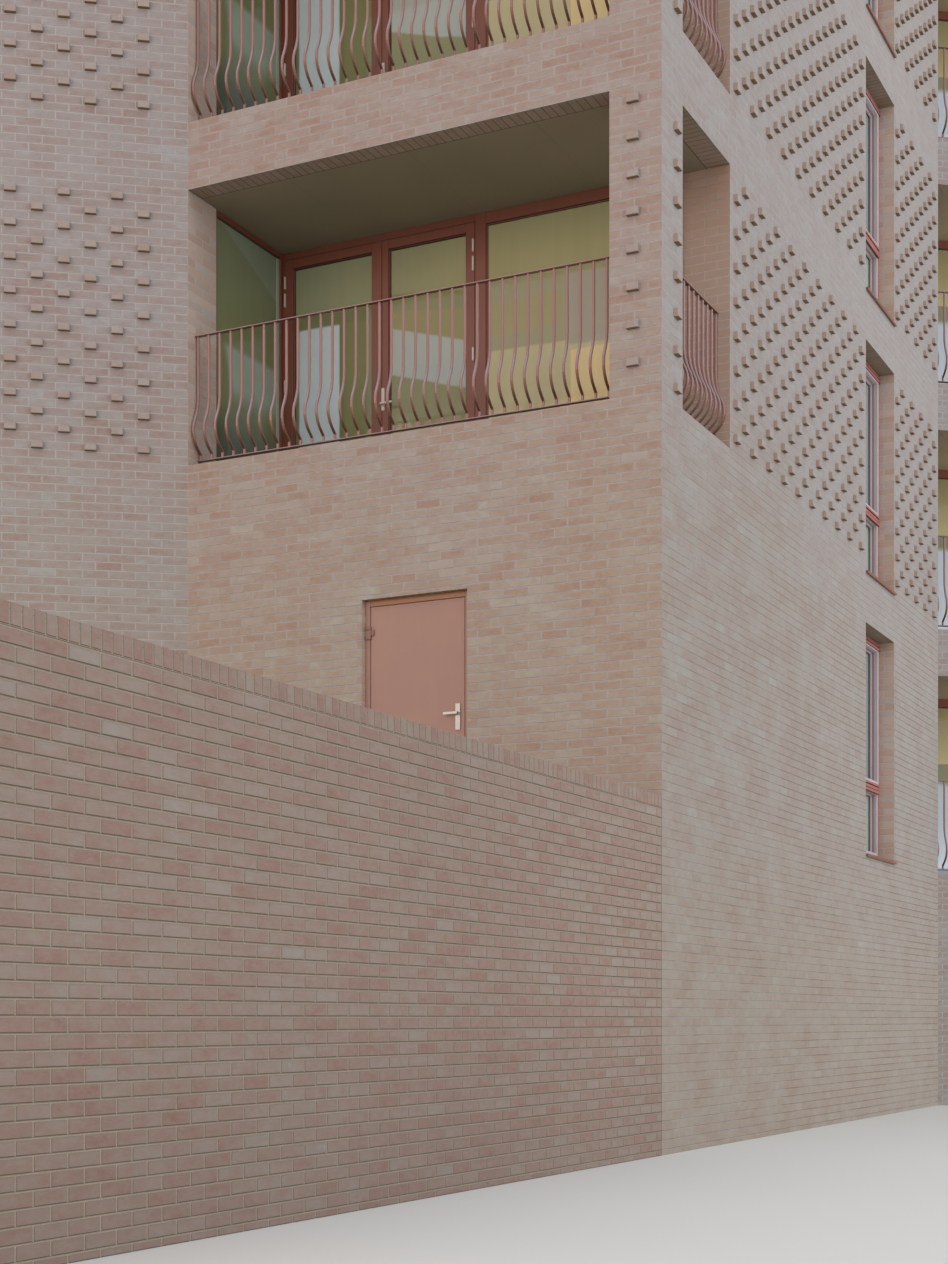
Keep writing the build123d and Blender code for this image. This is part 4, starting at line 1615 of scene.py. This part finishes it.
@dataclass
class EndScreens:
    """Screens at the back of the end loggias: three lights in one frame."""

    rail: float = 0.110
    edge: float = 0.090
    mullion: float = 0.055
    splits: tuple[float, ...] = (0.0, 1.0, 2.0, END_LOGGIA)

    def build(self) -> None:
        """Builds one storey's screen and copies it up."""
        y = (LOGGIA_DEEP, LOGGIA_DEEP + SCREEN)
        bars, seals = Joinery(), Joinery()
        for a, b in zip(self.splits, self.splits[1:]):
            left = self.edge if a == self.splits[0] else self.mullion
            right = self.edge if b == self.splits[-1] else self.mullion
            light = (a + left, b - right)
            for stile in ((a, light[0]), (light[1], b)):
                bars.bar(stile, y, (0, END_HEAD))
            for rail in ((0, self.rail), (END_HEAD - self.rail, END_HEAD)):
                bars.bar(light, (y[0] + TUCK, y[1]), rail)
            z = (self.rail, END_HEAD - self.rail)
            seals.ring(light, (y[0] + 0.012, y[0] + 0.030), z, 0.010)
        places = FACES[Side.END].storeys()
        bars.fit(places, "end_screen_frames", OXIDE, "end_loggia_screens")
        seals.fit(places, "end_screen_seals", GASKET)


@dataclass
class TallWindows:
    """The tall windows: moulded outer frames, opening sashes above and fixed ones below."""

    back: float = 0.185
    deep: float = 0.120
    frame: float = 0.062
    head: float = 0.096
    transom_at: float = 0.810
    transom: float = 0.092
    sill: float = 0.022
    proud: float = 0.028
    # Mouldings of the head, from its top, and of the transom, from its foot: how far they
    # stand out, their foot and their head.
    head_mouldings: tuple[Point, ...] = (
        (0.026, -0.096, -0.062), (0.022, -0.052, -0.030), (0.012, -0.026, -0.004),
    )
    transom_mouldings: tuple[Point, ...] = (
        (0.026, 0.068, 0.096), (0.020, 0.026, 0.062), (0.026, -0.014, 0.020),
    )

    def places(self) -> list[Matrix]:
        """Where every window goes."""
        return [
            place for side, starts in WINDOWS.items() for x0 in starts
            for place in FACES[side].storeys(0, x0, WIN_SILL)
        ]

    def build(self) -> None:
        """Builds one window and copies it to all its places."""
        y0, y1 = self.back, self.back + self.deep
        wide = (0, WIN_WIDE)
        low, high = self.sill, WIN_HEAD - WIN_SILL
        bar, over = self.transom_at, self.transom_at + self.transom
        places = self.places()
        outer, sashes, steps, seals = Joinery(), Joinery(), Joinery(), Joinery()
        outer.ring(wide, (y0, y1), (low, high), self.frame, self.frame, self.head)
        outer.bar(within(wide, self.frame), (y0 + TUCK, y1), (bar, over))
        for inset, level, mouldings in (
            (0.004, high, self.head_mouldings), (self.frame - 0.020, bar, self.transom_mouldings),
        ):
            for out, z0, z1 in mouldings:
                outer.bar(within(wide, inset), (y0 - out, y0 + 0.004), (level + z0, level + z1))
        x = within(wide, self.frame)
        for z, out in (((low + self.frame, bar), 0.006), ((over, high - self.head), 0.016)):
            # Profiles from the outer edge of a sash to its glass: what each belongs to, how
            # far it is drawn in at its sides, its front and back, how far it is drawn in at
            # its foot and head, and the widths of its bars.
            for parts, inset, front, back, foot, head, sizes in (
                (sashes, -0.018, -out, 0.060, -0.012, -0.012, (0.046, 0.046, 0.026)),
                (steps, 0.026, 0.020, 0.066, 0.032, 0.012, (0.014, 0.012, 0.010)),
                (sashes, 0.038, 0.050, 0.082, 0.042, 0.020, (0.014,)),
                (seals, 0.050, 0.070, 0.084, 0.054, 0.032, (0.008,)),
            ):
                depth = (y0 + front, y0 + back)
                parts.ring(within(x, inset), depth, within(z, foot, head), *sizes)
        outer.fit(places, "window_outer_frames", SALMON, "window_frames")
        sashes.fit(places, "window_sashes", MAUVE)
        steps.fit(places, "window_sash_steps", UMBER)
        seals.fit(places, "window_glass_seals", GASKET)
        sill = Joinery()
        sill.bar(wide, (-self.proud, y1), (0, self.sill))
        with editing(sill.bars[0]) as mesh:
            # The groove round the underside of the metal, just behind its folded lip.
            pick(sill.bars[0], "FACE", mesh.faces, lambda f: f.normal.z < -0.9)
            bpy.ops.mesh.inset(thickness=0.006)
        sill.bar(wide, (-self.proud, 0.004 - self.proud), (-0.010, 0.004), 0.001)
        sill.fit(places, "window_sill_metal", SILL, "window_sills")


@dataclass
class GroundDoor:
    """Details of the door in the front of the bay."""

    x: Span = (1.790, 2.800)
    z: Span = (2.558, 4.658)
    back: float = 0.060
    deep: float = 0.095
    frame: float = 0.050
    # How far the leaf is drawn in from the frame's outer size, and at its foot.
    leaf_in: float = 0.055
    leaf_foot: float = 0.010
    leaf_deep: Span = (0.002, 0.046)

    def build(self) -> None:
        """Builds the frame and the leaf with its sunk panel."""
        place = [FACES[Side.FRONT].matrix()]
        y = (self.back, self.back + self.deep)
        light = within(self.x, self.frame)
        stiles, head, leaf = Joinery(), Joinery(), Joinery()
        for x in ((self.x[0], light[0]), (light[1], self.x[1])):
            stiles.bar(x, y, self.z)
        stiles.fit(place, "door_frame_stiles", DOOR, "door_frame")
        head.bar(light, (y[0] + TUCK, y[1]), (self.z[1] - self.frame, self.z[1]))
        head.fit(place, "door_frame_head", RUSSET)
        deep = (y[0] + self.leaf_deep[0], y[0] + self.leaf_deep[1])
        leaf.bar(within(self.x, self.leaf_in), deep, within(self.z, self.leaf_foot, self.leaf_in))
        with editing(leaf.bars[0]) as mesh:
            pick(leaf.bars[0], "FACE", mesh.faces, lambda f: f.normal.y < -0.9)
            bpy.ops.mesh.inset(thickness=0.014)
            bpy.ops.mesh.inset(thickness=0.004, depth=-0.0015)
        leaf.fit(place, "door_leaf_panel", DOOR, "door_leaf", body="door")


@dataclass
class Studio:
    """Pale floor, soft lights and the camera at the photograph's viewing angle."""

    # The camera: its place from the corner of the bay, its level direction in plan, the
    # focal length and sensor in millimetres, its upward shift and how far it sees.
    eye: Point = (5.32, -14.08, 1.08)
    view: Span = (-0.444, 0.896)
    lens: float = 53.957
    sensor: float = 36
    shift: float = 0.3061
    far: float = 500
    world: Rgb = (0.93, 0.97, 1.0)
    world_strength: float = 0.86
    floor_size: float = 400
    # Large soft boxes: name, where each stands, what it looks at, size, power and colour.
    boxes: tuple[tuple[str, Point, Point, Span, float, Rgb], ...] = (
        ("front", (-4, -50, 15), (-1, 0, 7), (46, 15), 6200, (1.0, 0.73, 0.60)),
        ("side", (58, 10, 20), (2, 12, 7), (54, 26), 12200, (0.77, 0.90, 1.0)),
        ("back", (-30, 44, 24), (-2, 4, 7), (34, 22), 3000, (1.0, 0.96, 0.92)),
    )
    # Weak lamps inside each end loggia, which stand for the light thrown about in it: name,
    # height over the floor, power and colour. Then their depth in the loggia and their size.
    lamps: tuple[tuple[str, float, float, Rgb], ...] = (
        ("high", 1.65, 8, (1.0, 0.84, 0.64)), ("low", 0.25, 6, (0.97, 0.98, 1.0)),
    )
    lamp_deep: float = 0.8
    lamp_size: Span = (2.4, 0.9)

    def light(
        self, name: str, at: Point | Vector, to: Point | Vector, size: Span, watts: float,
        tint: Rgb, seen: bool = True,
    ) -> None:
        """Adds one rectangular lamp.

        Args:
            name: Name of the light.
            at, to: Where it stands and what it looks at.
            size: Width and height.
            watts: Its power.
            tint: Its colour.
            seen: Whether reflections show it; the camera never sees it.
        """
        data = bpy.data.lights.new(name, "AREA")
        data.shape = "RECTANGLE"
        data.size, data.size_y = size
        data.energy = watts
        data.color = tint
        lamp = bpy.data.objects.new(name, data)
        bpy.context.scene.collection.objects.link(lamp)
        lamp.location = at
        lamp.visible_camera = False
        lamp.visible_glossy = seen
        lamp.rotation_mode = "QUATERNION"
        lamp.rotation_quaternion = (Vector(to) - Vector(at)).to_track_quat("-Z", "Y")

    def lights(self) -> None:
        """Adds the soft boxes, and lamps that look up from inside the end loggias."""
        for name, at, to, size, watts, tint in self.boxes:
            self.light(f"{name}_soft_box", at, to, size, watts, tint)
        for k, place in enumerate(FACES[Side.END].storeys(0, END_LOGGIA / 2)):
            for name, lift, watts, tint in self.lamps:
                at = place @ Vector((0, self.lamp_deep, lift))
                to = at + Vector((0, 0, 1))
                self.light(f"end_lamp_{name}_{k}", at, to, self.lamp_size, watts, tint, seen=False)

    def floor(self) -> None:
        """Lays the floor just under the model."""
        deselect()
        bpy.ops.mesh.primitive_plane_add(size=self.floor_size, location=(0, 0, -0.001))
        floor = bpy.context.object
        bpy.ops.object.transform_apply(location=True)
        floor.name = GROUND.name
        floor.data.materials.append(GROUND.material())

    def sky(self) -> None:
        """Sets an even pale sky."""
        world = bpy.data.worlds.new("studio")
        world.use_nodes = True
        sky = world.node_tree.nodes["Background"]
        sky.inputs["Color"].default_value = (*self.world, 1)
        sky.inputs["Strength"].default_value = self.world_strength
        bpy.context.scene.world = world

    def camera(self) -> None:
        """Sets the camera up where the photograph was taken from."""
        data = bpy.data.cameras.new("photo_camera")
        data.sensor_width = self.sensor
        data.lens = self.lens
        data.shift_y = self.shift
        data.clip_end = self.far
        camera = bpy.data.objects.new("photo_camera", data)
        bpy.context.scene.collection.objects.link(camera)
        camera.location = Vector(self.eye) + Vector((*PLAN_SHIFT, 0))
        camera.rotation_mode = "QUATERNION"
        camera.rotation_quaternion = Vector((*self.view, 0)).to_track_quat("-Z", "Y")
        bpy.context.scene.camera = camera

    def build(self) -> None:
        """Builds the floor, the lights, the sky and the camera."""
        self.floor()
        self.lights()
        self.sky()
        self.camera()
        bpy.context.scene.view_settings.view_transform = "Standard"


def balustrades() -> list[Balustrade]:
    """The three kinds of balustrade run, with their places."""
    return [
        Balustrade(kind, wide, FACES[side].storeys(first, x, lift))
        for kind, side, wide, first, x, lift in (
            ("front", Side.FRONT, BAY_FRONT - PIER_FRONT, 1, 0.0, LOGGIA_SILL),
            ("side", Side.SIDE, LOGGIA_SIDE - PIER_SIDE, 1, PIER_SIDE, LOGGIA_SILL),
            ("end", Side.END, END_LOGGIA, 0, 0.0, END_SILL),
        )
    ]


def main() -> None:
    """Builds every sub-assembly in order."""
    logging.basicConfig(level=logging.INFO, format="%(message)s")
    deselect()
    Shell().build()
    HeaderGrid().build()
    ParapetCoping().build()
    RoofScreed().build()
    GardenWall().build()
    for run in balustrades():
        run.build()
    LoggiaScreens().build()
    EndScreens().build()
    TallWindows().build()
    GroundDoor().build()
    Studio().build()
    deselect()


if __name__ == "__main__":
    main()
